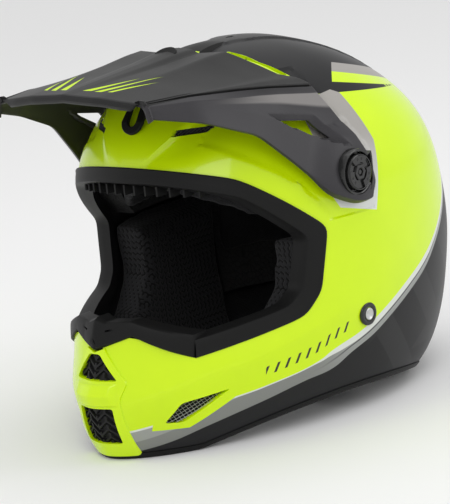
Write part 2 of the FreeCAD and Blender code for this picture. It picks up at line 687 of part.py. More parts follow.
def webbing(corners, radii, thickness, width):
    one_side = rounded_path(corners, radii, thickness / 2)
    other_side = rounded_path(corners, radii, -thickness / 2)
    ends = [(one_side[0].Vertexes[0].Point, other_side[0].Vertexes[0].Point),
            (one_side[-1].Vertexes[-1].Point, other_side[-1].Vertexes[-1].Point)]
    edges = one_side + other_side + [Part.makeLine(a, b) for a, b in ends]
    face = Part.Face(Part.Wire(Part.__sortEdges__(edges)))
    face.translate(Vector(0, size("rivet_y") + ear_y - width / 2, 0))
    return face.extrude(Vector(0, width, 0))


strap_bottom = size("strap_bottom")
strap_x, strap_low_x = size("strap_x"), size("strap_low_x")
strap_top = size("rivet_z") - 7
left_run = [(strap_x, strap_top), (strap_low_x, 26), (74, strap_bottom), (59, strap_bottom),
            (59, 22), (74, 22)]
right_run = [(-strap_x, strap_top), (-strap_low_x, 26), (-74, strap_bottom), (55, strap_bottom),
             (55, 22), (4, 22)]
thickness, strap_width = size("strap_thickness"), size("strap_width")
keep("chin_strap_left", webbing(left_run, (25, 20, 2, 2), thickness, strap_width))
keep("chin_strap_right", webbing(right_run, (25, 20, 4, 4), thickness, strap_width))


def make_d_ring(height):
    """Wire ring lying flat: a straight bar inside the left strap's loop, two legs and a round bow."""
    wire, bar_x, half, leg = size("ring_wire") / 2, 63.0, 12.5, 9.0
    y = size("rivet_y") + ear_y
    bar = Part.makeCylinder(wire, 2 * half, Vector(bar_x, y - half, height), Vector(0, 1, 0))
    legs = [Part.makeCylinder(wire, leg, Vector(bar_x, y + half * s, height), Vector(-1, 0, 0))
            for s in (-1, 1)]
    corners = [Part.makeSphere(wire, Vector(bar_x, y + half * s, height)) for s in (-1, 1)]
    bow = Part.makeTorus(half, wire, Vector(bar_x - leg, y, height), Vector(0, 0, 1))
    bow = bow.common(Part.makeBox(40, 40, 10, Vector(bar_x - leg - 40, y - 20, height - 5)))
    return bar.fuse(legs + corners + [bow]).removeSplitter()


keep("d_rings", Part.makeCompound([make_d_ring(13.9), make_d_ring(17.9)]))


def make_hanger(side):
    """Steel plate on the rivet with a slot below it that the webbing is sewn through."""
    y, z = size("rivet_y") + ear_y, size("rivet_z")
    inner_x, plate = size("hanger_x"), size("hanger_thickness")
    half = strap_width / 2 + 1.5
    disc = Part.makeCylinder(8, plate, Vector(inner_x, y, z), Vector(1, 0, 0))
    foot = Part.makeBox(plate, 2 * half, 12, Vector(inner_x, y - half, z - 17))
    neck = Part.makeBox(plate, 14, 10, Vector(inner_x, y - 7, z - 9))
    hole = Part.makeCylinder(2.56, 20, Vector(inner_x - 5, y, z), Vector(1, 0, 0))
    slot = Part.makeBox(20, strap_width - 1, 2.6, Vector(inner_x - 5, y - strap_width / 2 + 0.5, z - 14))
    shape = disc.fuse([foot, neck]).cut([hole, slot]).removeSplitter()
    return shape if side > 0 else shape.mirror(Vector(), Vector(1, 0, 0))


keep("strap_hangers", Part.makeCompound([make_hanger(1), make_hanger(-1)]))


def make_sleeve():
    """Soft sleeve round the right strap, where it lies under the wearer's jaw."""
    run = [(-66, strap_bottom), (20, strap_bottom)]
    outer = Part.makeBox(run[1][0] - run[0][0], strap_width + 8, 7.2,
                         Vector(run[0][0], size("rivet_y") + ear_y - strap_width / 2 - 4, strap_bottom - 3.6))
    inner = Part.makeBox(200, strap_width + 0.8, thickness + 0.6,
                         Vector(-120, size("rivet_y") + ear_y - strap_width / 2 - 0.4,
                                strap_bottom - thickness / 2 - 0.3))
    return outer.cut(inner)


keep("strap_sleeve", make_sleeve())

snap_y = size("rivet_y") + ear_y
snap_radius = size("snap_radius")
keep("snap_cap", Part.makeCylinder(snap_radius, 2.0, Vector(12, snap_y, 22 + thickness / 2 + 0.1),
                                   Vector(0, 0, 1)))
keep("snap_socket", Part.makeCylinder(snap_radius - 1, 3.0, Vector(12, snap_y, 22 - thickness / 2 - 3.1),
                                      Vector(0, 0, 1)))


def make_liner_snaps():
    """Press studs between the shell and the cheek pads, three on each side."""
    band = nested(wall + 1.0, floor_drop=5.0).cut(nested(size("pad_outer") - 0.5, floor_drop=5.5))
    studs = []
    for side in (1, -1):
        for y, z in ((-86, 62), (8, 48), (-28, 122)):
            studs.append(Part.makeCylinder(size("liner_snap_radius"), 60,
                                           Vector(80 * side, y + ear_y, z), Vector(side, 0, 0)))
    return whole(band.common(Part.makeCompound(studs)))


keep("liner_snaps", make_liner_snaps())

# ---------------------------------------------------------------- check and write
doc.recompute()
for item in doc.Objects:
    if "Invalid" in item.State or "Error" in item.State:
        raise RuntimeError("%s failed: %s" % (item.Name, item.State))
for item in sub_parts:
    if item.Shape.isNull() or not item.Shape.isValid() or item.Shape.Volume <= 0:
        raise RuntimeError(item.Label + " has no valid solid")
    item.Shape.exportStep("parts/%s.step" % item.Label)
    box = item.Shape.BoundBox
    print("%-28s %2d solids %9.1f mm3  x %.0f..%.0f y %.1f..%.1f z %.1f..%.1f" % (
        item.Label, len(item.Shape.Solids), item.Shape.Volume, box.XMin, box.XMax,
        box.YMin, box.YMax, box.ZMin, box.ZMax))
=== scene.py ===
import math

import bmesh
import bpy
import numpy as np
from mathutils import Matrix, Vector


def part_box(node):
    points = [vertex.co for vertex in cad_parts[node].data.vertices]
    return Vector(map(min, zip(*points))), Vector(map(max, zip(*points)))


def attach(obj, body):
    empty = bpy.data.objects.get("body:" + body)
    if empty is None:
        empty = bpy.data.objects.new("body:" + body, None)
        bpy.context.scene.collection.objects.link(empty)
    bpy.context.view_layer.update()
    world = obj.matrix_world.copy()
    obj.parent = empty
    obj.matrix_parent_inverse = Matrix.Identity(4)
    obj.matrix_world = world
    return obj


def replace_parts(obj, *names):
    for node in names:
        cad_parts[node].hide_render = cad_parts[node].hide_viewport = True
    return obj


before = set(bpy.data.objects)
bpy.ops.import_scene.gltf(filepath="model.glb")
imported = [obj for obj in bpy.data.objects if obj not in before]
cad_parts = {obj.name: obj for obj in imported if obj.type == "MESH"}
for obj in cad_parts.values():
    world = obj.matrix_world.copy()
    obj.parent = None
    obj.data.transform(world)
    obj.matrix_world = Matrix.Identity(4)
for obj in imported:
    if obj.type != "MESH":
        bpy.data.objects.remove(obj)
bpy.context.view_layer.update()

scene = bpy.context.scene

# Sizes below are millimetres. Heights stand on the base, and y is measured from the ear plane,
# which lies 46 mm behind the visor's pivot.
mm = 0.001
knobLow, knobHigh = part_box("visor_screw_left")
pivot = {"y": -46.0, "z": 1000 * (knobLow.z + knobHigh.z) / 2}
earY = 1000 * (knobLow.y + knobHigh.y) / 2 - pivot["y"]


# ---- hand tools shared by every piece

def deselectAll():
    if bpy.context.mode != "OBJECT":
        bpy.ops.object.mode_set(mode="OBJECT")
    bpy.ops.object.select_all(action="DESELECT")


def pick(*pieces):
    deselectAll()
    for piece in pieces:
        piece.select_set(True)
    bpy.context.view_layer.objects.active = pieces[0]


def readPoints(piece):
    flat = np.empty(len(piece.data.vertices) * 3)
    piece.data.vertices.foreach_get("co", flat)
    x, y, z = flat.reshape(-1, 3).T / mm
    return x, y - earY, z


def readCentres(piece):
    flat = np.empty(len(piece.data.polygons) * 3)
    piece.data.polygons.foreach_get("center", flat)
    x, y, z = flat.reshape(-1, 3).T / mm
    return x, y - earY, z


def putPoints(piece, x, y, z):
    x, y, z = np.broadcast_arrays(x, y, z)
    flat = np.stack([x, y + earY, z], axis=1) * mm
    piece.data.vertices.foreach_set("co", flat.ravel())
    piece.data.update()


def gridPiece(name, columns, rows, place):
    # a flat grid whose points are pulled to where place(u, v) says, u and v running from 0 to 1
    deselectAll()
    bpy.ops.mesh.primitive_grid_add(x_subdivisions=columns, y_subdivisions=rows, size=1)
    piece = bpy.context.object
    piece.name = piece.data.name = name
    flat = np.empty(len(piece.data.vertices) * 3)
    piece.data.vertices.foreach_get("co", flat)
    u, v = flat.reshape(-1, 3)[:, 0] + 0.5, flat.reshape(-1, 3)[:, 1] + 0.5
    putPoints(piece, *place(u, v))
    return piece


def editAll(piece, *steps):
    # edit mode on the whole piece, one operator after another
    pick(piece)
    bpy.ops.object.mode_set(mode="EDIT")
    bpy.ops.mesh.select_all(action="SELECT")
    for step in steps:
        step()
    bpy.ops.object.mode_set(mode="OBJECT")


def closeUp(piece, gap=0.02):
    # seams and poles are merged, open holes filled, and faces turned outwards
    editAll(piece, lambda: bpy.ops.mesh.remove_doubles(threshold=gap * mm),
            lambda: bpy.ops.mesh.dissolve_degenerate(threshold=0.2 * gap * mm),
            lambda: bpy.ops.mesh.fill_holes(sides=0),
            lambda: bpy.ops.mesh.normals_make_consistent(inside=False))
    return piece


def faceAwayFrom(piece, x, y, z):
    # an open sheet has its faces turned away from a point
    centre = Vector((x, y + earY, z)) * mm
    facing = sum((face.center - centre).dot(face.normal) * face.area for face in piece.data.polygons)
    if facing < 0:
        editAll(piece, bpy.ops.mesh.flip_normals)


def modify(piece, kind, **settings):
    pick(piece)
    modifier = piece.modifiers.new(kind.title(), kind)
    for key, value in settings.items():
        setattr(modifier, key, value)
    bpy.ops.object.modifier_apply(modifier=modifier.name)
    return piece


def combine(piece, tool, operation="DIFFERENCE", solver="MANIFOLD"):
    modify(piece, "BOOLEAN", object=tool, operation=operation, solver=solver)
    bpy.data.objects.remove(tool)
    return piece


def join(name, *pieces):
    pick(*pieces)
    if len(pieces) > 1:
        bpy.ops.object.join()
    pieces[0].name = pieces[0].data.name = name
    return pieces[0]


def prism(name, outline, plane, low, high):
    # an outline pushed through the object: plane is side (y, z), front (x, z) or top (x, y)
    deselectAll()
    bpy.ops.mesh.primitive_circle_add(vertices=len(outline), radius=1, fill_type="NGON")
    piece = bpy.context.object
    piece.name = name
    a, b = np.array(outline, float).T
    deep = np.full(len(a), float(low))
    putPoints(piece, *{"side": (deep, a, b), "front": (a, deep, b), "top": (a, b, deep)}[plane])
    reach = Vector({"side": (1, 0, 0), "front": (0, 1, 0), "top": (0, 0, 1)}[plane]) * (high - low) * mm
    editAll(piece, lambda: bpy.ops.mesh.extrude_region_move(TRANSFORM_OT_translate={"value": reach}),
            lambda: bpy.ops.mesh.select_all(action="SELECT"),
            lambda: bpy.ops.mesh.normals_make_consistent(inside=False))
    return piece


def mirrored(outline):
    return [(-a, b) for a, b in outline]


def ramp(value, low, high):
    # 0 below low, 1 above high, and smooth between
    share = np.clip((value - low) / (high - low), 0, 1)
    return share * share * (3 - 2 * share)


def along(points, value):
    # a line through points (a, b): b at a
    a, b = zip(*points)
    return np.interp(value, a, b)


def rounded(outline, radius, steps=4):
    # an outline with its corners turned into arcs
    points = [Vector(point) for point in outline]
    result = []
    for index, corner in enumerate(points):
        before, after = points[index - 1] - corner, points[(index + 1) % len(points)] - corner
        reach = min(radius, 0.45 * before.length, 0.45 * after.length)
        start, end = corner + before.normalized() * reach, corner + after.normalized() * reach
        for step in range(steps + 1):
            share = step / steps
            bend = start * (1 - share) ** 2 + corner * 2 * share * (1 - share) + end * share ** 2
            result.append(tuple(bend))
    return result


def offsetOutline(outline, distance):
    # the same outline drawn further out (or in, where distance is below 0), corners mitred
    points = [Vector(point) for point in outline]
    area = sum(a.cross(b) for a, b in zip(points, points[1:] + points[:1]))
    side = 1 if area > 0 else -1
    result = []
    for index, corner in enumerate(points):
        before = (corner - points[index - 1]).normalized()
        after = (points[(index + 1) % len(points)] - corner).normalized()
        outwards = Vector((before.y, -before.x)) + Vector((after.y, -after.x))
        outwards = outwards * side / max(0.3, 1 + before.dot(after))
        result.append(tuple(corner + outwards * distance))
    return result


def distanceInside(outline, a, b):
    # how far points lie inside a closed outline; below 0 outside it
    a, b = np.asarray(a, float), np.asarray(b, float)
    nearest, inside = np.full(a.shape, 1e9), np.zeros(a.shape, bool)
    for (a0, b0), (a1, b1) in zip(outline, outline[1:] + outline[:1]):
        run, rise = a1 - a0, b1 - b0
        share = np.clip(((a - a0) * run + (b - b0) * rise) / (run * run + rise * rise), 0, 1)
        nearest = np.minimum(nearest, np.hypot(a - a0 - share * run, b - b0 - share * rise))
        crosses = (b0 > b) != (b1 > b)
        if rise:
            inside ^= crosses & (a < a0 + (b - b0) * run / rise)
    return np.where(inside, nearest, -nearest)


def score(piece, start, end, plane, where, reach=7.0):
    # cuts the faces beside a straight line, so that a crease can follow it exactly
    x, y, z = readCentres(piece)
    a, b = {"side": (y, z), "front": (x, z), "top": (x, y)}[plane]
    run, rise = end[0] - start[0], end[1] - start[1]
    length = math.hypot(run, rise)
    forward = ((a - start[0]) * run + (b - start[1]) * rise) / length
    aside = np.abs((a - start[0]) * rise - (b - start[1]) * run) / length
    chosen = (forward > -3) & (forward < length + 3) & (aside < reach) & where(x, y, z)
    if not chosen.any():
        return
    pick(piece)
    bpy.ops.object.mode_set(mode="EDIT")
    bpy.ops.mesh.select_mode(type="FACE")
    bpy.ops.mesh.select_all(action="DESELECT")
    bpy.ops.object.mode_set(mode="OBJECT")
    piece.data.polygons.foreach_set("select", chosen)
    bpy.ops.object.mode_set(mode="EDIT")
    point = {"side": (0, start[0] + earY, start[1]), "front": (start[0], 0, start[1]),
             "top": (start[0], start[1] + earY, 0)}[plane]
    normal = {"side": (0, rise, -run), "front": (rise, 0, -run), "top": (rise, -run, 0)}[plane]
    bpy.ops.mesh.bisect(plane_co=Vector(point) * mm, plane_no=normal)
    bpy.ops.object.mode_set(mode="OBJECT")


def moveAlongNormals(piece, outwards):
    # every point moves out by its own number of millimetres
    flat = np.empty(len(piece.data.vertices) * 3)
    piece.data.vertex_normals.foreach_get("vector", flat)
    nx, ny, nz = flat.reshape(-1, 3).T
    x, y, z = readPoints(piece)
    putPoints(piece, x + nx * outwards, y + ny * outwards, z + nz * outwards)


def hand(piece, body, materials, stands=(), angle=32):
    # the finished piece gets its finish, its shading, and the body that it moves with
    piece.data.materials.clear()
    for material in materials if isinstance(materials, (list, tuple)) else [materials]:
        piece.data.materials.append(material)
    pick(piece)
    bpy.ops.object.shade_smooth_by_angle(angle=math.radians(angle))
    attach(piece, body)
    if stands:
        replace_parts(piece, *([stands] if isinstance(stands, str) else stands))
    return piece


# ---- shader tools

class Socket:
    # one number in a material, so that masks read as ordinary sums
    def __init__(self, finish, out):
        self.finish, self.out = finish, out

    def math(self, operation, *others):
        return self.finish.add("ShaderNodeMath", {"operation": operation}, [self, *others])

    def reflected(self, operation, other):
        return self.finish.add("ShaderNodeMath", {"operation": operation}, [other, self])

    def __add__(self, other):
        return self.math("ADD", other)

    def __sub__(self, other):
        return self.math("SUBTRACT", other)

    def __mul__(self, other):
        return self.math("MULTIPLY", other)

    def __truediv__(self, other):
        return self.math("DIVIDE", other)

    def __rsub__(self, other):
        return self.reflected("SUBTRACT", other)

    def __or__(self, other):
        return self.math("MAXIMUM", other)

    def __and__(self, other):
        return self.math("MINIMUM", other)

    def __abs__(self):
        return self.math("ABSOLUTE")

    __radd__, __rmul__, __ror__, __rand__ = __add__, __mul__, __or__, __and__

    def edge(self, low=-0.15, high=0.15):
        # 0 below low, 1 above high: a painted edge
        settings = {"interpolation_type": "SMOOTHSTEP"}
        return self.finish.add("ShaderNodeMapRange", settings, [self, low, high, 0, 1])

    def wave(self, pitch):
        return (self * (math.tau / pitch)).math("SINE")


class Finish:
    # a material under construction; x, y and z are the piece's own place in millimetres
    def __init__(self, name, **fixed):
        self.material = bpy.data.materials.new(name)
        self.material.use_nodes = True
        self.nodes, self.links = self.material.node_tree.nodes, self.material.node_tree.links
        self.shader = self.nodes["Principled BSDF"]
        for key, value in fixed.items():
            self.shader.inputs[key.replace("_", " ")].default_value = value

    def add(self, kind, settings=None, inputs=(), output=0):
        node = self.nodes.new(kind)
        for key, value in (settings or {}).items():
            if key == "points":
                curve = node.mapping.curves[0]
                for place, point in zip((0, -1), (value[0], value[-1])):
                    curve.points[place].location = point
                for point in value[1:-1]:
                    curve.points.new(*point)
                for point in curve.points:
                    point.handle_type = "AUTO_CLAMPED"
                node.mapping.update()
            else:
                setattr(node, key, value)
        for key, value in inputs.items() if isinstance(inputs, dict) else enumerate(inputs):
            if isinstance(value, Socket):
                self.links.new(value.out, node.inputs[key])
            else:
                node.inputs[key].default_value = value
        return Socket(self, node.outputs[output])

    def place(self):
        self.where = self.add("ShaderNodeTexCoord", output="Object")
        parts = self.add("ShaderNodeSeparateXYZ", {}, [self.where])
        x, y, z = (Socket(self, parts.out.node.outputs[axis]) * 1000 for axis in "XYZ")
        return x, y - earY, z

    def noise(self, scale, detail=2.0):
        inputs = {"Scale": scale, "Detail": detail}
        if hasattr(self, "where"):
            inputs.setdefault("Vector", self.where)
        return self.add("ShaderNodeTexNoise", {}, inputs)

    def curve(self, value, points):
        # a smooth line through points (a, b): b at the value
        (a0, a1), (b0, b1) = [(min(side), max(side)) for side in zip(*points)]
        scaled = [((a - a0) / (a1 - a0), (b - b0) / (b1 - b0)) for a, b in points]
        share = self.add("ShaderNodeFloatCurve", {"points": scaled}, {1: (value - a0) / (a1 - a0)})
        return share * (b1 - b0) + b0

    def inside(self, outline, a, b):
        # how far a place lies inside a convex outline, drawn anticlockwise
        result = None
        for (a0, b0), (a1, b1) in zip(outline, outline[1:] + outline[:1]):
            length = math.hypot(a1 - a0, b1 - b0)
            run, rise = (a1 - a0) / length, (b1 - b0) / length
            side = b * run - a * rise + (a0 * rise - b0 * run)
            result = side if result is None else result & side
        return result

    def mix(self, share, first, second):
        colours = [value if isinstance(value, Socket) else (*value, 1) for value in (first, second)]
        inputs = {0: share, 6: colours[0], 7: colours[1]}
        return self.add("ShaderNodeMix", {"data_type": "RGBA"}, inputs, output=2)

    def bump(self, height, distance, strength=1.0):
        inputs = {"Strength": strength, "Distance": distance * mm, "Height": height}
        self.links.new(self.add("ShaderNodeBump", {}, inputs).out, self.shader.inputs["Normal"])

    def feed(self, **inputs):
        for key, value in inputs.items():
            self.links.new(value.out, self.shader.inputs[key.replace("_", " ")])
        return self.material


def grey(level):
    return level, level, level


# ---- studio: pale floor, soft lights, and the camera

studio = {"air": 0.82, "azimuth": 42.0, "elevation": 12.0, "roll": -6.1, "distance": 1.8, "lens": 165.1,
          "target": (0.0, -20.0, 130.0), "aside": -0.01293, "down": -0.00947}


def makeStudio():
    azimuth, elevation, roll = (math.radians(studio[key]) for key in ("azimuth", "elevation", "roll"))
    back = Vector((math.sin(azimuth) * math.cos(elevation), -math.cos(azimuth) * math.cos(elevation),
                   math.sin(elevation)))
    level = Vector((math.cos(azimuth), math.sin(azimuth), 0))
    upright = back.cross(level)
    right = level * math.cos(roll) + upright * math.sin(roll)
    up = upright * math.cos(roll) - level * math.sin(roll)
    tx, ty, tz = studio["target"]
    target = Vector((tx, ty + earY, tz)) * mm
    aim = right * studio["aside"] + up * studio["down"] - back
    deselectAll()
    bpy.ops.object.camera_add(location=target + back * studio["distance"])
    camera = bpy.context.object
    back = -aim.normalized()
    right = up.cross(back).normalized()
    up = back.cross(right)
    camera.rotation_mode = "QUATERNION"
    turn = [[right[i], up[i], back[i]] for i in range(3)]
    camera.rotation_quaternion = Matrix(turn).to_quaternion()
    camera.data.lens, camera.data.sensor_width = studio["lens"], 36
    camera.data.clip_start, camera.data.clip_end = 0.05, 50
    scene.camera = camera

    bpy.ops.mesh.primitive_plane_add(size=14)
    floor = bpy.context.object
    floor.name = "floor"
    paper = Finish("floorPaper", Base_Color=(0.86, 0.86, 0.86, 1), Roughness=0.9)
    floor.data.materials.append(paper.material)

    world = bpy.data.worlds.new("studioAir")
    scene.world = world
    world.use_nodes = True
    world.node_tree.nodes["Background"].inputs[0].default_value = (1, 1, 1, 1)
    world.node_tree.nodes["Background"].inputs[1].default_value = studio["air"]
    scene.view_settings.view_transform = "Standard"
    middle = Vector((0, 0, 0.14))
    for name, place, size, power in (
            ("keyLight", (1.1, -1.5, 1.5), 1.1, 10), ("topLight", (0.2, 0.3, 1.9), 1.6, 6),
            ("rimLight", (1.7, 1.1, 0.9), 0.9, 6), ("fillLight", (-1.7, -1.0, 0.6), 1.2, 2)):
        bpy.ops.object.light_add(type="AREA", location=place)
        lamp = bpy.context.object
        lamp.name, lamp.data.size, lamp.data.energy = name, size, power
        lamp.rotation_mode = "QUATERNION"
        lamp.rotation_quaternion = (Vector(place) - middle).to_track_quat("Z", "Y")


makeStudio()
print("studio is set")


# ---- the helmet's form: level sections of the shell, and the skins that lie under or over it

helmet = {
    # height, half width, front, back, widest point, front power, back power
    "sections": [
        (0, 92, -203, 100, -10, 1.70, 2.2), (14, 103, -209, 118, -10, 1.70, 2.2),
        (40, 112, -214, 138, -10, 1.70, 2.2), (80, 118, -206, 150, -8, 1.72, 2.2),
        (115, 121, -194, 153, -5, 1.82, 2.2), (150, 123, -180, 147, -5, 1.97, 2.2),
        (185, 121, -166, 136, -5, 2.10, 2.2), (213, 112, -153, 121, -8, 2.15, 2.2),
        (240, 95, -134, 92, -12, 2.20, 2.2), (262, 72, -108, 54, -17, 2.20, 2.2),
        (275, 45, -78, 20, -22, 2.15, 2.2), (281, 14, -44, -8, -25, 2.10, 2.1),
        (281.6, 0.3, -26, -24, -25, 2.10, 2.1)],
    "halfWidth": 123.0, "forward": 206.0, "backward": 158.0, "crown": 281.0, "liftFrom": 100.0,
    "archFront": -160.0, "archBack": 75.0, "archRise": 19.0, "trimHeight": 5.0}


def naturalSpline(places, values):
    # second derivatives of a smooth line through the values
    count = len(places)
    gaps = np.diff(places)
    matrix, right = np.eye(count), np.zeros((count, values.shape[1]))
    slopes = np.diff(values, axis=0) / gaps[:, None]
    for k in range(1, count - 1):
        matrix[k, k - 1:k + 2] = gaps[k - 1], 2 * (gaps[k - 1] + gaps[k]), gaps[k]
        right[k] = 6 * (slopes[k] - slopes[k - 1])
    return np.linalg.solve(matrix, right)


def fineSections(count=4000):
    table = np.array(helmet["sections"], float)
    steps = np.hypot(np.diff(table[:, 0]), np.diff(table[:, 1]))
    places = np.concatenate([[0], np.cumsum(steps)])
    bends = naturalSpline(places, table)
    fine = np.linspace(0, places[-1], count)
    k = np.clip(np.searchsorted(places, fine) - 1, 0, len(places) - 2)
    gap = (places[k + 1] - places[k])[:, None]
    a = (places[k + 1][:, None] - fine[:, None]) / gap
    b = 1 - a
    return (a * table[k] + b * table[k + 1]
            + ((a ** 3 - a) * bends[k] + (b ** 3 - b) * bends[k + 1]) * gap ** 2 / 6)


fine = fineSections()
fineHeight = np.maximum.accumulate(fine[:, 0])


def section(z, depth=0.0):
    # the level section at a height, on the skin that lies depth under the shell's face
    crown, lift = helmet["crown"], helmet["liftFrom"]
    shrink = (crown - lift - depth) / (crown - lift)
    z = np.where(z > lift, lift + (z - lift) / shrink, z)
    parts = [np.interp(z, fineHeight, column) for column in fine.T[1:]]
    half, front, back, widest, frontPower, backPower = parts
    forward = (widest - front) * (helmet["forward"] - depth) / helmet["forward"]
    backward = (back - widest) * (helmet["backward"] - depth) / helmet["backward"]
    half = half * (helmet["halfWidth"] - depth) / helmet["halfWidth"]
    return half, forward, backward, widest, frontPower, backPower


def sideX(y, z, depth=0.0):
    # half width of the skin at (y, z)
    half, forward, backward, widest, frontPower, backPower = section(z, depth)
    ahead = y < widest
    reach, power = np.where(ahead, forward, backward), np.where(ahead, frontPower, backPower)
    share = np.clip(np.abs(y - widest) / np.maximum(reach, 0.01), 0, 1)
    return half * (1 - share ** power) ** (1 / power)


def frontY(x, z, depth=0.0):
    half, forward, backward, widest, frontPower, backPower = section(z, depth)
    share = np.clip(np.abs(x) / np.maximum(half, 0.01), 0, 1)
    return widest - forward * (1 - share ** frontPower) ** (1 / frontPower)


def rearY(x, z, depth=0.0):
    half, forward, backward, widest, frontPower, backPower = section(z, depth)
    share = np.clip(np.abs(x) / np.maximum(half, 0.01), 0, 1)
    return widest + backward * (1 - share ** backPower) ** (1 / backPower)


def withinSkin(x, y, z, depth):
    half, forward, backward, widest, frontPower, backPower = section(z, depth)
    ahead = y < widest
    reach, power = np.where(ahead, forward, backward), np.where(ahead, frontPower, backPower)
    across = np.abs(x) / np.maximum(half, 0.01)
    return across ** power + (np.abs(y - widest) / np.maximum(reach, 0.01)) ** power < 1


def topZ(x, y, depth=0.0):
    # height of the skin over (x, y), found by halving
    low, high = np.full(np.shape(x), 150.0), np.full(np.shape(x), helmet["crown"] - depth + 0.4)
    for _ in range(30):
        middle = (low + high) / 2
        inside = withinSkin(x, y, middle, depth)
        low, high = np.where(inside, middle, low), np.where(inside, high, middle)
    return low


def roundTheHelmet(turn, z, depth=0.0):
    # x and y at an angle in radians, 0 at the left ear and a quarter turn back at the rear
    half, forward, backward, widest, frontPower, backPower = section(z, depth)
    across, ahead = np.cos(turn), np.sin(turn)
    reach, power = np.where(ahead < 0, forward, backward), np.where(ahead < 0, frontPower, backPower)
    x = half * np.sign(across) * np.abs(across) ** (2 / power)
    return x, widest + reach * np.sign(ahead) * np.abs(ahead) ** (2 / power)


def archLift(y):
    # the base rises in one arc beside the neck
    front, back, rise = helmet["archFront"], helmet["archBack"], helmet["archRise"]
    middle, half = (front + back) / 2, (back - front) / 2
    radius = (half * half + rise * rise) / (2 * rise)
    return np.maximum(0, np.sqrt(np.maximum(0, radius ** 2 - (y - middle) ** 2)) + rise - radius)


# ---- outer shell

shell = {
    "around": 280, "upwards": 150, "wall": 4.0,
    "eyeport": [(-260, 216.6), (-166, 212), (-125, 197), (-69, 151), (-76, 104), (-90, 88), (-167, 73),
                (-195, 93), (-260, 93)],
    "mouth": [(5, 86), (24.5, 60), (19.8, 48), (22.4, 8)],
    "guardTip": [(-28, 94), (-28, 93), (0, 83), (28, 93), (28, 94)],
    "sideVent": [(-187, 27), (-178, 41), (-147, 46), (-176, 26)],
    "browSlot": [(34, 228), (34, 232.5), (57, 233.5), (55, 229.5)],
    "crownVent": [(24, -69), (29, -60), (55, -59), (74, -48), (78, -51), (76, -57), (39, -69)],
    "duct": [(-13, -78), (13, -78), (9, -55), (-9, -55)],
    "rearVent": [(34, 205), (34, 193), (66, 193), (60, 205)],
    # the pocket that the visor's wing lies in, and how deep it is
    "pocket": [(-22, 156), (-19, 172), (-19, 194), (-27, 212), (-37, 236), (-40, 262), (-150, 262),
               (-150, 240), (-84, 186), (-62, 156)], "pocketDepth": 1.2,
    # the raised middle of the crown: half width along y
    "spine": [(-70, 4), (-58, 6), (-25, 18), (14, 33), (60, 46), (110, 52)], "spineHeight": 1.3,
    # a crease beside each brow slot, and the ridge along the cheek (y, z)
    "browCrease": [(14, 208), (34, 228)], "browDepth": 2.4,
    "cheekRidge": [(-206, 44), (-189, 51), (-160, 60), (-121, 67), (-92, 75), (-60, 84), (-10, 92)],
    "ridgeHeight": 1.8,
    # where the colours meet, as heights along y
    "yellowEdge": [(-214, 20), (-189, 28), (-160, 36), (-122, 42), (-78, 51), (-67, 56), (-38, 65),
                   (-6, 80), (14, 90), (40, 103), (57, 114), (85, 139), (105, 163), (122, 190), (134, 214),
                   (160, 262)],
    "blackEdge": [(-214, 1), (-182, 11), (-160, 20), (-113, 33), (-91, 38), (-66, 42), (-49, 50),
                  (-28, 58), (-8, 68), (18, 81), (44, 95), (57, 105), (85, 131), (105, 156), (122, 184),
                  (134, 208), (160, 256)]}


def shellPoint(u, v, depth=0.0):
    # u runs round the helmet from the back, v from the base up to the crown
    low = np.interp(v * (len(fineHeight) - 1), np.arange(len(fineHeight)), fineHeight)
    x, y = roundTheHelmet((u + 0.25) * math.tau, low, depth)
    shrink = (helmet["crown"] - helmet["liftFrom"] - depth) / (helmet["crown"] - helmet["liftFrom"])
    z = np.where(low > helmet["liftFrom"], helmet["liftFrom"] + (low - helmet["liftFrom"]) * shrink, low)
    return x, y, z


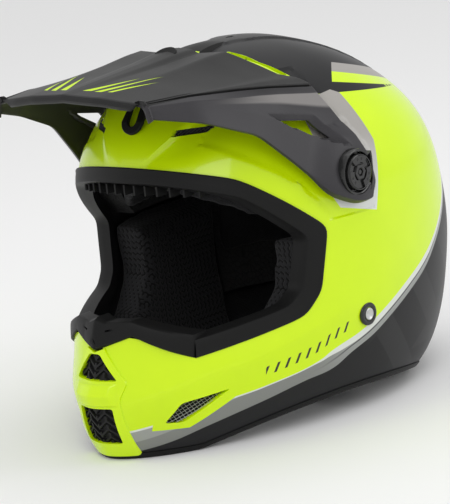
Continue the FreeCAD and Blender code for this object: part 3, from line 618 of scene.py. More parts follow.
def makeShellPaint():
    paint = Finish("shellPaint", Coat_Roughness=0.06, Specular_IOR_Level=0.25)
    x, y, z = paint.place()
    side = abs(x)
    yellowEdge, blackEdge = paint.curve(y, shell["yellowEdge"]), paint.curve(y, shell["blackEdge"])
    # stripes that start behind the visor and run into one another at the back
    silverTop = 259.5 - (y - 2) * 0.25
    silverLow = 253.5 - (y + 4) * 0.25
    stripeLow = 244.6 - y * 0.212
    fieldTop = 238.3 - y * 0.118
    started = (y - (2 - (side - 75) * 1.3)).edge()
    belowCrown = (fieldTop - z).edge()
    body = (z - yellowEdge).edge() & belowCrown
    stripe = (silverLow - z).edge() & (z - stripeLow).edge() & started
    slash = (y + (z - 232) * 0.9).math("PINGPONG", 2.2)
    slashes = (slash - 1.3).edge() & (y - 46).edge() & (58 - y).edge() & (stripeLow - z).edge() & started
    rim = paint.inside([(-193, 22), (-172, 21), (-140, 41), (-140, 60), (-193, 60)], y, z).edge()
    yellow = body | stripe | (slashes & (z - fieldTop).edge()) | (rim & (-140 - y).edge())
    silverStripe = (silverTop - z).edge() & (z - silverLow).edge() & started & (1 - yellow)
    # the band between yellow and black: pale at its upper edge, partly a printed stripe and partly a painted
    # highlight where the yellow panel's edge catches the light, then grey, then a thin dark line; in front,
    # the band's upper part is lighter as a painted highlight on a lit facet
    band = (yellowEdge - z) / (yellowEdge - blackEdge)
    inBand = band.edge(-0.01, 0.01) & (1 - band).edge(-0.01, 0.01)
    behind = (y + 90).edge(0, 50)
    # pale upper edge: wider behind as a printed silver stripe, narrow in front as a painted highlight on the
    # yellow panel's lit edge
    paleStripeAndHighlight = (0.08 + behind * 0.38 - band).edge(-0.02, 0.02)
    darkLine = ((band - 0.5).edge(-0.02, 0.02) & (0.6 - band).edge(-0.02, 0.02)) * behind
    # painted highlight: in front, the band's upper part is lighter, as a facet facing the light
    litFacet = (z - blackEdge - 8 - (y + 214) * 0.06).edge(-0.5, 0.5) * (1 - behind)
    bandGrey = paint.mix(litFacet, (0.20, 0.205, 0.195), (0.30, 0.31, 0.29))
    bandGrey = paint.mix(behind, bandGrey, (0.27, 0.28, 0.27))
    bandGrey = paint.mix(paleStripeAndHighlight, bandGrey, (0.66, 0.68, 0.64))
    bandGrey = paint.mix(darkLine, bandGrey, (0.07, 0.07, 0.07))
    # silver panel behind the wing, lighter towards its foot
    panel = paint.inside([(-60, 240), (-62, 175), (-54, 162), (-19, 153), (-11, 187), (-7, 203), (-16, 240),
                          (-23, 243.5)], y, z).edge() & (side - 60).edge()
    silver = paint.mix(z.edge(160, 214), (0.66, 0.68, 0.66), (0.33, 0.315, 0.295))
    # satin black with slanted bars a shade apart
    slant = (y * 0.8 + z * 0.6).math("PINGPONG", 26.0)
    counter = (y * 0.55 - z * 0.9 + 40).math("PINGPONG", 34.0)
    bars = (slant - 15).edge(-0.4, 0.4) | ((counter - 24).edge(-0.4, 0.4) & (z - 30).edge(0, 4))
    lower = (blackEdge - z).edge() & (y + 40).edge(0, 20)
    black = paint.mix(bars & lower, (0.009, 0.009, 0.010), (0.019, 0.019, 0.020))
    # a row of short slanted ticks along the cheek
    above = z - yellowEdge - 11
    tick = (y - above * 0.45).math("PINGPONG", 4.2)
    ticks = (tick - 3.1).edge(-0.1, 0.1) & (3.4 - abs(above)).edge() & (y + 122).edge() & (-50 - y).edge()
    smudge = paint.noise(30, 3)
    tint = paint.mix(smudge, (0.56, 0.80, 0.0), (0.62, 0.86, 0.0))
    colour = paint.mix(yellow, black, tint)
    colour = paint.mix(silverStripe, colour, (0.33, 0.315, 0.295))
    colour = paint.mix(inBand & (1 - (rim & (-140 - y).edge())), colour, bandGrey)
    colour = paint.mix(panel, colour, silver)
    colour = paint.mix(ticks, colour, (0.02, 0.022, 0.015))
    glossy = yellow | panel | inBand
    rough = 0.42 - glossy * 0.20 + smudge * 0.06
    paint.bump(paint.noise(900, 2) * 0.5 + paint.noise(90, 1), 0.012)
    return paint.feed(Base_Color=colour, Roughness=rough, Coat_Weight=glossy * 0.38 + 0.04)


def makeShellInside():
    raw = Finish("shellInside", Roughness=0.7)
    return raw.feed(Base_Color=raw.mix(raw.noise(60, 4), (0.012, 0.012, 0.013), (0.03, 0.03, 0.032)))


def makeShell():
    piece = gridPiece("outerShell", shell["around"], shell["upwards"], shellPoint)
    editAll(piece, lambda: bpy.ops.mesh.remove_doubles(threshold=0.05 * mm))
    faceAwayFrom(piece, 0, -20, 120)
    modify(piece, "SMOOTH", factor=0.5, iterations=8)
    z = readPoints(piece)[2]
    x, y, _ = readPoints(piece)
    putPoints(piece, x, y, np.where(z < 3, 0.0, z))

    pocket = shell["pocket"]
    outer = offsetOutline(pocket, 1.4)
    for sign in (1, -1):
        beside = lambda x, y, z: x * sign > 55
        for outline in (pocket, outer):
            for start, end in zip(outline, outline[1:] + outline[:1]):
                if max(start[0], end[0]) > -149:
                    score(piece, start, end, "side", beside)
        for half in (0, 1.6):
            line = [(sign * (width + half), y) for y, width in shell["spine"]]
            for start, end in zip(line, line[1:]):
                score(piece, start, end, "top", lambda x, y, z: z > 225)
        (x0, z0), (x1, z1) = shell["browCrease"]
        for push in (0, 4):
            score(piece, (sign * (x0 + push), z0 - push), (sign * (x1 + push), z1 - push), "front",
                  lambda x, y, z: y < -100)
        for start, end in zip(shell["cheekRidge"], shell["cheekRidge"][1:]):
            score(piece, start, end, "side", lambda x, y, z: x * sign > 0)

    x, y, z = readPoints(piece)
    side = np.abs(x)
    relief = -shell["pocketDepth"] * ramp(distanceInside(pocket, y, z), -1.4, 0) * (side > 55)
    inSpine = along(shell["spine"], y) - side
    fade = ramp(y, -68, -50) * (1 - ramp(y, 80, 115)) * (z > 200)
    relief += shell["spineHeight"] * np.clip(inSpine / 1.6 + 1, 0, 1) * fade
    (x0, z0), (x1, z1) = shell["browCrease"]
    aside = (side - x0 - (z - z0) * (x1 - x0) / (z1 - z0)) * 0.707
    fade = (1 - ramp(aside, 8, 34)) * ramp(z, 203, 222) * (1 - ramp(z, 244, 256)) * (y < -90)
    relief -= shell["browDepth"] * np.clip(aside / 2.8, 0, 1) * fade
    off = np.clip(np.abs(z - along(shell["cheekRidge"], y)) / 26, 0, 1)
    relief += shell["ridgeHeight"] * (1 - off) ** 2 * (1 - ramp(y, -70, -12)) * ramp(side, 12, 30)
    moveAlongNormals(piece, relief)

    modify(piece, "SOLIDIFY", thickness=shell["wall"] * mm, offset=-1, material_offset=1,
           material_offset_rim=0)
    bow = [(y, archLift(y) + helmet["trimHeight"]) for y in np.linspace(-230, 180, 60)]
    tools = [prism("archTool", [*bow, (180, -20), (-230, -20)], "side", -160, 160),
             prism("eyeportTool", rounded(shell["eyeport"], 6), "side", -160, 160),
             prism("tipTool", shell["guardTip"], "front", -260, -120),
             prism("ductTool", rounded(shell["duct"], 4), "top", 262, 300),
             prism("mouthTool", [*shell["mouth"], *[(-x, z) for x, z in shell["mouth"][::-1]]], "front",
                   -260, -120)]
    for sign in (1, -1):
        flip = mirrored if sign < 0 else list
        sideFrom, sideTo = (20, 140) if sign > 0 else (-140, -20)
        tools += [prism("ventTool", rounded(shell["sideVent"], 2.5), "side", sideFrom, sideTo),
                  prism("slotTool", flip(rounded(shell["browSlot"], 1.2)), "front", -200, -80),
                  prism("crownTool", flip(rounded(shell["crownVent"], 2)), "top", 235, 300),
                  prism("rearTool", flip(rounded(shell["rearVent"], 3)), "front", 60, 160)]
    for tool in tools:
        combine(piece, tool)
    hand(piece, "helmet", [makeShellPaint(), makeShellInside()], "outer_shell", 24)
    # faces on the skin's inner side are raw, and so is the cut edge under the eyeport's trim
    x, y, z = readCentres(piece)
    edge = (z > 62) & (z < 196) & (y < -60)
    within = withinSkin(x, y, z, np.where(edge, 1.7, 3.4))
    piece.data.polygons.foreach_set("material_index", within.astype(np.int32))


makeShell()
print("shell is shaped and painted")


# ---- finishes that several pieces share

def makeSatin(name, dark, light, roughness=0.42, grain=0.02):
    # moulded plastic with a fine grain
    satin = Finish(name, Specular_IOR_Level=0.15)
    satin.place()
    cloud = satin.noise(22, 3)
    speck = satin.noise(1500, 2)
    satin.bump(speck, grain)
    return satin.feed(Base_Color=satin.mix(cloud * 0.6 + speck * 0.4, dark, light),
                      Roughness=roughness - 0.05 + cloud * 0.1)


def makeGloss(name, dark, light, roughness=0.16):
    gloss = Finish(name, Coat_Weight=0.25, Coat_Roughness=0.05, Specular_IOR_Level=0.35)
    gloss.place()
    cloud = gloss.noise(35, 3)
    gloss.bump(gloss.noise(160, 2), 0.01)
    return gloss.feed(Base_Color=gloss.mix(cloud, dark, light), Roughness=roughness + cloud * 0.08)


def makeMetal(name, dark, light, roughness=0.3):
    metal = Finish(name, Metallic=1.0)
    metal.place()
    brushed = metal.noise(420, 3)
    metal.bump(brushed, 0.01)
    return metal.feed(Base_Color=metal.mix(brushed, dark, light), Roughness=roughness + brushed * 0.12)


trimRubber = makeSatin("trimRubber", grey(0.006), grey(0.011), 0.46, 0.03)
blackGloss = makeGloss("blackGloss", grey(0.008), grey(0.013))
yellowGloss = makeGloss("yellowGloss", (0.56, 0.80, 0.0), (0.62, 0.86, 0.0), 0.2)
grilleBlack = makeSatin("grilleBlack", grey(0.010), grey(0.020), 0.5)
silverMesh = makeMetal("silverMesh", grey(0.45), grey(0.68), 0.32)
darkMesh = makeMetal("darkMesh", grey(0.05), grey(0.10), 0.4)
steel = makeMetal("steel", grey(0.48), grey(0.66), 0.26)


# ---- visor: a peak and two wings pressed from one sheet

visor = {
    "places": [-214, -165, -122, -95, -72, -46, -28],
    # rails that run from front to back, as (x, z) at each place
    "middle": [(0, 271.5), (0, 276), (0, 280), (0, 283.5), (0, 285), (0, 285), (0, 285)],
    "shoulder": [(34, 269.5), (38, 273.5), (40, 277.5), (42, 280.5), (44, 281.5), (46, 281.5),
                 (46, 281.5)],
    "crease": [(68, 265), (82, 265.5), (91, 262.5), (95, 259.5), (96, 256), (95, 252), (94, 250)],
    "knee": [(69.5, 262), (90, 256), (101, 246), (108, 233), (113, 219), (118.5, 212), (119, 212)],
    "hem": [(69.5, 258.5), (95, 246), (106, 229), (115, 203), (123, 179), (127.5, 168), (128, 167)],
    "spineWidth": [3, 7, 10.5, 13, 15, 17, 18], "spineDrop": [0, 0.6, 1.8, 2.4, 2.6, 2.6, 2.6],
    "band": [0, 0.02, 0.45, 0.7, 0.9, 1, 1], "groove": [0, 0.8, 1, 1, 1, 1, 1],
    "wall": 2.4, "alongs": 132, "acrosses": 184, "lip": 7.0,
    "front": [(0, -209), (30, -208.5), (52, -206), (70, -202), (140, -202)],
    # recess beside the wing's window, and the hole in it
    "recess": [(-110, 242), (-63, 232.5), (-41, 204), (-62, 214), (-94, 231)], "recessDepth": 5.0,
    "window": [(-97, 234.5), (-69, 229.5), (-56, 214), (-62, 215), (-93, 231.5)],
    # the cup round each screw: a circle with a straight back
    "cupRadius": 16.0, "cupBack": -29.5, "cupRim": 130.6, "cupFloor": 126.3,
    "swell": 4.6, "holeRadius": 3.2}


def visorRails():
    rail = {key: np.array(visor[key], float) for key in ("middle", "shoulder", "crease", "knee", "hem")}
    width, drop, band, groove = (np.array(visor[key], float)[:, None]
                                 for key in ("spineWidth", "spineDrop", "band", "groove"))
    middle, shoulder, crease, knee, hem = rail.values()

    def between(first, second, share):
        return first + (second - first) * share
    spineTop = between(middle, shoulder, width / shoulder[:, :1])
    spineFoot = between(middle, shoulder, (width + 5) / shoulder[:, :1]) - drop * [0, 1]
    bandTop = between(shoulder, crease, 1 - 0.30 * band)
    bandFoot = between(shoulder, crease, 1 - 0.13 * band) + band * [0, 1.2]
    # each rail with the place where the sheet ends behind it
    return [(middle, -83), (spineTop, -83), (spineFoot, -83), (shoulder, -80), (bandTop, -67),
            (bandFoot, -55), (crease, -48), (crease + groove * [-1.4, -2.4], -48),
            (crease + groove * [1.0, -1.9], -48), (between(crease, knee, 0.5) + groove * [1.6, 0.9], -43),
            (knee, -34), (between(knee, hem, 0.4), -26.5), (between(knee, hem, 0.8), -26),
            (hem, -32), (hem + [-2.6, -0.6], -33)]


def visorPoint(u, v):
    # u runs from the front lip to the back edge, v from the right hem over the top to the left hem
    rails = visorRails()
    table = np.stack([rail for rail, _ in rails])
    backs = np.array([back for _, back in rails], float)
    spread = np.array([0, 1.4, 0.5, 3, 3.4, 1.1, 1, 0.7, 0.7, 2.6, 2.6, 2.2, 2.2, 1.2, 0.5])
    steps = np.cumsum(spread) / spread.sum()
    share = np.interp(np.abs(v * 2 - 1), steps, np.arange(len(rails)))
    k = np.minimum(share.astype(int), len(rails) - 2)
    part = share - k

    def at(y):
        total = 0
        for push in (-5, -2.5, 0, 2.5, 5):
            inner = np.stack([[np.interp(y + push, visor["places"], rail[:, axis]) for axis in (0, 1)]
                              for rail in table])
            total = total + inner[k, :, np.arange(len(k))] * (1 - part)[:, None]
            total = total + inner[k + 1, :, np.arange(len(k))] * part[:, None]
        return total[:, 0] / 5, total[:, 1] / 5
    back = backs[k] * (1 - part) + backs[k + 1] * part
    front = np.full(len(u), -205.0)
    for _ in range(3):
        front = along(visor["front"], at(front)[0])
    rolled = np.clip((u - 0.04) / 0.96, 0, 1)
    y = front + 2.6 + (back - front - 2.6) * rolled
    x, z = at(y)
    # the first columns roll over into the front lip
    turn = np.clip(1 - u / 0.04, 0, 1)
    tall = visor["lip"] * (1 - ramp(np.abs(x), 60, 69))
    y = y - 2.6 * np.sin(np.minimum(turn * 1.6, 1) * math.pi / 2) + 2.2 * np.clip(turn - 0.7, 0, 1) / 0.3
    z = z - (1 - np.cos(np.minimum(turn * 1.6, 1) * math.pi / 2)) * tall * 0.45
    z = z - np.clip(turn - 0.5, 0, 0.5) * tall
    return np.sign(v - 0.5) * x, y, z


def cupOutline(grow=0.0):
    # seen from the side: round in front, straight behind
    radius, back = visor["cupRadius"] + grow, visor["cupBack"] + grow
    start = 40
    arc = [(pivot["y"] + radius * math.cos(math.radians(a)), pivot["z"] + radius * math.sin(math.radians(a)))
           for a in range(start, 361 - start, 8)]
    return [*arc, *[(back - reach, pivot["z"] + height) for reach, height in
                    ((6, -15 - grow), (2, -13 - grow * 0.6), (0, -8), (0, 0), (0, 8),
                     (0.5, 12 + grow * 0.4))]]


def makeVisorPaint():
    # charcoal with a few tapered streaks, brighter on the wings
    paint = Finish("visorPaint", Specular_IOR_Level=0.2)
    x, y, z = paint.place()
    side = abs(x)
    streaks = None
    for low, high, slope, start, end in ((6, 13, 0.42, -196, -158), (17, 23, 0.42, -198, -150),
                                         (27, 31.5, 0.42, -198, -160)):
        across = side - (y + 200) * slope
        taper = (y - start) / (end - start)
        line = (across - low - taper * (high - low) * 0.5).edge() & (
            high - taper * (high - low) * 0.45 - across).edge()
        line = line & (y - start - across * 0.2).edge() & (end + across * 0.3 - y).edge()
        streaks = line if streaks is None else streaks | line
    streaks = streaks & (z - 262).edge()
    speck, cloud = paint.noise(1400, 2), paint.noise(24, 3)
    charcoal = paint.mix(speck, grey(0.010), grey(0.022))
    colour = paint.mix(streaks, charcoal, (0.58, 0.82, 0.0))
    paint.bump(speck, 0.03)
    return paint.feed(Base_Color=colour, Roughness=0.40 + cloud * 0.1)


def makeWingPaint():
    # satin grey with a painted highlight, a paler wedge under the crease, and painted shade next to the
    # crease
    paint = Finish("wingPaint", Specular_IOR_Level=0.25)
    x, y, z = paint.place()
    crease = paint.curve(y, list(zip(visor["places"], [point[1] for point in visor["crease"]])))
    below = crease - z
    width = (y + 155) * 0.085
    # painted highlight: a paler wedge where the bent facet under the crease faces the light
    highlightWedge = (below - 6.5).edge(-0.4, 0.4) & (width + 6.5 - below).edge(-2.5, 0.6) & (y + 155).edge(0, 70)
    # painted shade: darker within 9 mm under the crease, beside the groove between peak and wing
    dark = (9 - below).edge(0, 9) * (y + 160).edge(0, 60)
    speck = paint.noise(1500, 2)
    satin = paint.mix(speck, (0.026, 0.025, 0.028), (0.040, 0.038, 0.042))
    satin = paint.mix(dark * 0.6, satin, (0.010, 0.010, 0.011))
    colour = paint.mix(highlightWedge, satin, (0.20, 0.19, 0.185))
    paint.bump(speck, 0.02)
    return paint.feed(Base_Color=colour, Roughness=0.34 + speck * 0.06)


def makeVisorSheet():
    sheet = gridPiece("visorSheet", visor["alongs"], visor["acrosses"], visorPoint)
    faceAwayFrom(sheet, 0, -60, 160)
    recess = visor["recess"]
    for sign in (1, -1):
        beside = lambda x, y, z: (x * sign > 60) & (z > 195)
        for start, end in zip(recess, recess[1:] + recess[:1]):
            score(sheet, start, end, "side", beside, 5)
        for start, end in zip(recess[2:], recess[3:] + recess[:1]):
            score(sheet, (start[0], start[1] + 0.6), (end[0], end[1] + 0.6), "side", beside, 5)
    x, y, z = readPoints(sheet)
    wing = (np.abs(x) > 75) & (y > -112)
    (y0, z0), (y1, z1), (y2, z2) = recess[:3]

    def below(ya, za, yb, zb):
        return -((z - za) * (yb - ya) - (y - ya) * (zb - za)) / math.hypot(yb - ya, zb - za)
    slopes = np.minimum(below(y0, z0, y1, z1), below(y1, z1, y2, z2)) / 9
    sunk = visor["recessDepth"] * np.clip(slopes, 0, 1) * (distanceInside(recess, y, z) > 0.35) * wing
    away = np.hypot(y - pivot["y"], z - pivot["z"]) - visor["cupRadius"]
    swell = visor["swell"] * (1 - ramp(away, -2, 26)) * wing * (z < 222)
    moveAlongNormals(sheet, swell - sunk)
    modify(sheet, "SOLIDIFY", thickness=visor["wall"] * mm, offset=-1, use_rim=True)
    for low, high in ((40, 150), (-150, -40)):
        combine(sheet, prism("windowTool", rounded(visor["window"], 1.5), "side", low, high))
        combine(sheet, prism("cupTool", cupOutline(0.6), "side", low, high))
    modify(sheet, "BEVEL", width=0.5 * mm, segments=2, limit_method="ANGLE", angle_limit=math.radians(60))
    sheet = hand(sheet, "visor_body", [makeVisorPaint(), makeWingPaint()], "visor", 26)
    x, y, z = readCentres(sheet)
    wide, crease = (np.interp(y, visor["places"], line) for line in zip(*visor["crease"]))
    onWing = (z < crease - 1.6) & (np.abs(x) > wide - 1) & (y > -203)
    sheet.data.polygons.foreach_set("material_index", onWing.astype(np.int32))


def ringPiece(name, rings):
    # rings of (x, y, z) points, each joined to the next and the last to the first
    table = np.array([*rings, rings[0]], float)
    table = np.concatenate([table, table[:, :1]], axis=1)
    rows, columns = table.shape[0] - 1, table.shape[1] - 1

    def place(u, v):
        return table[np.rint(v * rows).astype(int), np.rint(u * columns).astype(int)].T
    return closeUp(gridPiece(name, columns, rows, place), 0.01)


def makeVisorCup(sign):
    steps = [(1.2, 122.0), (1.2, 129.6), (0.9, 130.4), (0.1, visor["cupRim"]), (-0.8, 130.3), (-1.2, 129.4),
             (-1.3, visor["cupFloor"] + 0.4), (-1.8, visor["cupFloor"])]
    rings = [[(sign * x, y, z) for y, z in cupOutline(grow)] for grow, x in steps]
    hole = [math.atan2(z - pivot["z"], y - pivot["y"]) for y, z in cupOutline()]
    for x in (visor["cupFloor"], 122.0):
        rings.append([(sign * x, pivot["y"] + visor["holeRadius"] * math.cos(a),
                       pivot["z"] + visor["holeRadius"] * math.sin(a)) for a in hole])
    cup = ringPiece("visorCupLeft" if sign > 0 else "visorCupRight", rings)
    hand(cup, "visor_body", blackGloss, "visor", 30)


slotTab = {"radius": 107.5, "half": 1.2, "width": 10.5, "slot": 4.0, "low": 29.1, "high": 60.0,
           "slotLow": 28.8, "slotHigh": 40.0, "screwAt": 39.5}


def makeSlotTab():
    # the tongue that hangs from the peak to the middle screw
    def ring(width, low, high, radius):
        points = []
        for step in range(48):
            turn = step * math.tau / 48
            end = low if math.sin(turn) <= 0 else high
            angle = math.radians(end) + width * math.sin(turn) / radius
            points.append((width * math.cos(turn), pivot["y"] - radius * math.cos(angle),
                           pivot["z"] + radius * math.sin(angle)))
        return points
    tab = slotTab
    outer, inner = tab["radius"] + tab["half"], tab["radius"] - tab["half"]
    wide, slim = (tab["width"], tab["low"], tab["high"]), (tab["slot"], tab["slotLow"], tab["slotHigh"])
    easedWide, easedSlim = (wide[0] - 0.5, *wide[1:]), (slim[0] + 0.5, *slim[1:])
    rings = [ring(*wide, inner), ring(*wide, outer - 0.5), ring(*easedWide, outer),
             ring(*easedSlim, outer), ring(*slim, outer - 0.5), ring(*slim, inner)]
    hand(ringPiece("visorTab", rings), "visor_body", trimRubber, "visor", 30)


makeVisorSheet()
for sign in (1, -1):
    makeVisorCup(sign)
makeSlotTab()
print("visor is pressed, cupped and painted")


# ---- visor screws: a finger-turned head with three pads round a hexagon

knob = {"radius": 13.5, "foot": 114, "shank": 2.6, "low": 126.8, "face": 130.9, "top": 132.6,
        "padFrom": 7.2, "padTo": 12.2, "padSweep": 84.0, "dimpleReach": 9.8, "dimpleRadius": 1.15,
        "dimpleAside": 13}


def turned(name, profile, steps, sign):
    # a profile of (x, radius) spun round the pivot's axis
    rings = [[(sign * x, pivot["y"] + radius * math.cos(a), pivot["z"] + radius * math.sin(a))
              for a in (step * math.tau / steps for step in range(steps))] for x, radius in profile]
    return ringPiece(name, rings)


def makeKnob(sign):
    name = "knobLeft" if sign > 0 else "knobRight"
    low, face, top, radius = knob["low"], knob["face"], knob["top"], knob["radius"]
    foot, shank = knob["foot"], knob["shank"]
    profile = [(foot, 0.02), (foot, shank), (low, shank), (low, radius - 0.6), (low + 0.6, radius),
               (face, radius), (top - 0.5, radius - 0.5), (top - 0.2, radius - 1.1),
               (face + 0.2, radius - 1.3),
               (face, radius - 1.6), (face, 0.02)]
    parts = [turned(name, profile, 60, sign)]
    for points in ([(face - 0.4, 6.4), (top - 0.4, 6.2), (top, 5.7), (top, 3.6), (top - 0.4, 3.2),
                    (face, 3.1), (face - 0.4, 3.0)],
                   [(face - 0.4, 2.2), (face + 0.9, 2.1), (face + 1.1, 1.7), (face + 1.1, 0.02),
                    (face - 0.4, 0.02)]):
        parts.append(turned("hexagon", points, 6, sign))
    for index in range(3):
        middle = 90 + index * 120

        def place(u, v):
            turn = np.radians(middle + (np.clip(u * 1.2 - 0.1, 0, 1) - 0.5) * knob["padSweep"])
            reach = knob["padFrom"] + (knob["padTo"] - knob["padFrom"]) * np.clip(v * 1.4 - 0.2, 0, 1)
            edge = (np.abs(u - 0.5) > 0.43) | (np.abs(v - 0.5) > 0.38)
            height = np.where(edge, face - 0.3, top - 0.15)
            return sign * height, pivot["y"] + reach * np.cos(turn), pivot["z"] + reach * np.sin(turn)
        pad = closeUp(gridPiece("pad", 14, 8, place))
        for aside in (-knob["dimpleAside"], knob["dimpleAside"]):
            turn, reach = math.radians(middle + aside), knob["dimpleReach"]
            spot = Vector((sign * (top + 0.3), pivot["y"] + reach * math.cos(turn) + earY,
                           pivot["z"] + reach * math.sin(turn)))
            bpy.ops.mesh.primitive_uv_sphere_add(segments=16, ring_count=8, location=spot * mm,
                                                 radius=knob["dimpleRadius"] * mm)
            bpy.ops.object.transform_apply(location=True, rotation=False, scale=False)
            combine(pad, bpy.context.object)
        parts.append(pad)
    head = join(name, *parts)
    body, node = ("screw_left", "visor_screw_left") if sign > 0 else ("screw_right", "visor_screw_right")
    hand(head, body, blackGloss, node, 28)


for sign in (1, -1):
    makeKnob(sign)
print("visor screws are turned")


# ---- trim round the eyeport

trim = {
    # outer and inner edge as (y, z), from the brow round to the nose guard
    "outer": [(-166, 212), (-125, 197), (-69, 151), (-76, 104), (-90, 88), (-167, 73)],
    "inner": [(-250, 200), (-158, 197), (-126, 184), (-84, 146), (-90, 108), (-101, 98), (-165, 86)],
    "end": 58.6,
    # share of the way from the outer to the inner edge, and depth under the shell's skin
    "profile": [(0.0, 3), (-0.02, 0.4), (0.0, -1.5), (0.07, -1.95), (0.14, -1.6), (0.5, -1.2), (0.88, -0.4),
                (0.96, 0.1), (1, 1.4), (1, 7), (1, 14), (0.62, 14), (0.3, 14), (0.12, 8)],
    "samples": [20, 18, 14, 6, 16], "fins": 13, "finReach": 58, "finWidth": 1.6, "finHeight": 7.5}


def trimEdge(outline, depth):
    # points on the skin along the brow (by x), round the side, and back in along the cheek (by y)
    (yA, zA), (yB, zB) = outline[:2]
    (yFlat, zFlat), side = (yA - 60, zA + 22), outline[1:]
    if outline is trim["inner"]:  # its first point is a bend ahead of the brow
        (yFlat, zFlat), (yA, zA), (yB, zB) = outline[:3]
        side = outline[2:]
    xCorner = sideX(yB, zB, depth)
    points = []
    for x in np.linspace(0, xCorner, 60):
        z = zA
        for _ in range(40):
            y = float(frontY(x, z, depth))
            target = (zA + (zB - zA) * (y - yA) / (yB - yA)) if y > yA else (
                zA + (zFlat - zA) * (y - yA) / (yFlat - yA))
            z = z * 0.5 + target * 0.5
        points.append((x, y, z))
    for (y0, z0), (y1, z1) in zip(side, side[1:]):
        count = max(4, int(math.hypot(y1 - y0, z1 - z0) / 1.5))
        for share in np.linspace(0, 1, count)[1:]:
            y, z = y0 + (y1 - y0) * share, z0 + (z1 - z0) * share
            x = float(sideX(y, z, depth))
            if x < trim["end"] and z < 130:
                break
            points.append((x, y, z))
    return np.array(points)


def matchedEdges(depth, share):
    # both edges are sampled corner to corner, so that the profile crosses the rim squarely
    first, second = trimEdge(trim["outer"], depth), trimEdge(trim["inner"], depth)

    def resample(points, corners):
        steps = np.concatenate([[0], np.cumsum(np.linalg.norm(np.diff(points, axis=0), axis=1))])
        stops = [0.0]
        for y, z in corners:
            nearest = np.argmin(np.hypot(points[:, 1] - y, points[:, 2] - z))
            stops.append(steps[nearest])
        stops.append(steps[-1])
        runs = [np.linspace(a, b, count, endpoint=False)
                for a, b, count in zip(stops, stops[1:], trim["samples"])]
        places = np.concatenate([*runs, [steps[-1]]])
        result = np.stack([np.interp(places, steps, points[:, axis]) for axis in range(3)], axis=1)
        for _ in range(3):
            inner = (result[:-2] + 2 * result[1:-1] + result[2:]) / 4
            result[1:-1] = inner
        return result
    outer = resample(first, [(-125, 197), (-69, 151), (-76, 104), (-90, 88)])
    inner = resample(second, [(-126, 184), (-84, 146), (-90, 108), (-101, 98)])
    return outer + (inner - outer) * share


def makeEyeportTrim():
    rows = [matchedEdges(depth, share) for share, depth in trim["profile"]]
    table = np.array([*rows, rows[0]])
    full = np.concatenate([table[:, :0:-1] * [-1, 1, 1], table], axis=1)
    rowCount, columnCount = full.shape[0] - 1, full.shape[1] - 1

    def place(u, v):
        return full[np.rint(v * rowCount).astype(int), np.rint(u * columnCount).astype(int)].T
    rim = closeUp(gridPiece("eyeportRim", columnCount, rowCount, place), 0.01)
    # short fins hang under the brow, where air is let in
    fins = []
    count = trim["fins"]
    for index in range(count):
        x = trim["finReach"] * (2 * index / (count - 1) - 1)
        y, z = float(frontY(x, 196, 1.0)), 195.5 - 3 * (x / trim["finReach"]) ** 2
        left, right = x - trim["finWidth"] / 2, x + trim["finWidth"] / 2
        fins.append(prism("fin", [(left, y + 3), (right, y + 3), (right, y + 13), (left, y + 13)], "top",
                          z - trim["finHeight"], z))
    rim = join("eyeportRim", rim, *fins)
    hand(rim, "helmet", trimRubber, "eyeport_trim", 30)


makeEyeportTrim()


# ---- nose guard: a blade from cheek to cheek, with a pointed tip under its middle

guard = {"low": [(0, 83), (28, 93), (61.4, 72.8)], "high": [(0, 107), (8, 103.5), (27, 104), (61.4, 90)],
         "proud": 3.0, "ridge": 1.3,
         "notch": [(-3.4, 89), (0, 96.5), (3.4, 89), (2, 88), (0, 92.5), (-2, 88)]}


def makeNoseGuard():
    profile = [(0.0, 9.5), (0.0, 2), (0.03, -1.6), (0.1, -2.6), (0.3, -2.9), (0.55, -3), (0.8, -3),
               (0.93, -2.7), (0.99, -1.6), (1, 0.5), (1, 9.5), (0.5, 9.9)]
    count = len(profile)

    def place(u, v):
        step = np.rint(v * count).astype(int) % count
        share = np.array([point[0] for point in profile])[step]
        depth = np.array([point[1] for point in profile])[step]
        x = (u * 2 - 1) * 61.4
        reach = np.abs(x)
        low, high = along(guard["low"], reach), along(guard["high"], reach)
        z = low + (high - low) * share
        front = frontY(x, z, np.where(depth < 0, 0, depth))
        outside = np.clip(-depth, 0, 3) / 3
        peak = np.clip(1 - reach / 13, 0, 1) * guard["ridge"] * 2 * outside * np.clip(share * 4, 0, 1)
        flare = 1 + 0.4 * ramp(reach, 20, 60) * outside
        return x, front - outside * guard["proud"] * flare * (1 - 0.3 * ramp(reach, 50, 60)) - peak, z
    blade = closeUp(gridPiece("noseGuard", 96, count, place), 0.01)
    combine(blade, prism("notchTool", guard["notch"], "front", -260, -207.2))
    for sign in (1, -1):
        slot = [(sign * 9, 98.2), (sign * 25, 100.8), (sign * 25, 99.6), (sign * 9, 96.8)]
        combine(blade, prism("slotTool", slot if sign < 0 else slot[::-1], "front", -260, -200))
    hand(blade, "helmet", trimRubber, "nose_guard", 30)


makeNoseGuard()
print("eyeport trim and nose guard are moulded")


# ---- mouth vent: a frame with a blade across it, and tread-shaped grilles behind

mouth = {"outline": [(6, 88), (26, 60), (21, 48), (24, 3)], "upper": [(5, 81), (20, 62)],
         "lower": [(16, 42), (17, 14)], "proud": 1.9, "bladeProud": 6.4}


def chinPanel(name, outline, outwards, inwards, bulge=None, columns=36, rows=60):
    # a plate between two skins of the chin, cut to an outline
    a, b = np.array(outline, float).T

    def place(u, v):
        low, high = b.min() - 1, b.max() + 1
        x = a.min() - 1 + u * (a.max() - a.min() + 2)
        z = low + v * (high - low)
        push = bulge(x, z) if bulge else outwards
        return x, frontY(x, z, 0.0) - push, z
    plate = gridPiece(name, columns, rows, place)
    faceAwayFrom(plate, 0, 0, 50)
    modify(plate, "SOLIDIFY", thickness=(outwards + inwards) * mm, offset=-1, use_rim=True)
    return combine(plate, prism("outlineTool", outline, "front", -260, -120), "INTERSECT")


def fullOutline(half):
    return [*half, *[(-x, z) for x, z in half[::-1]]]


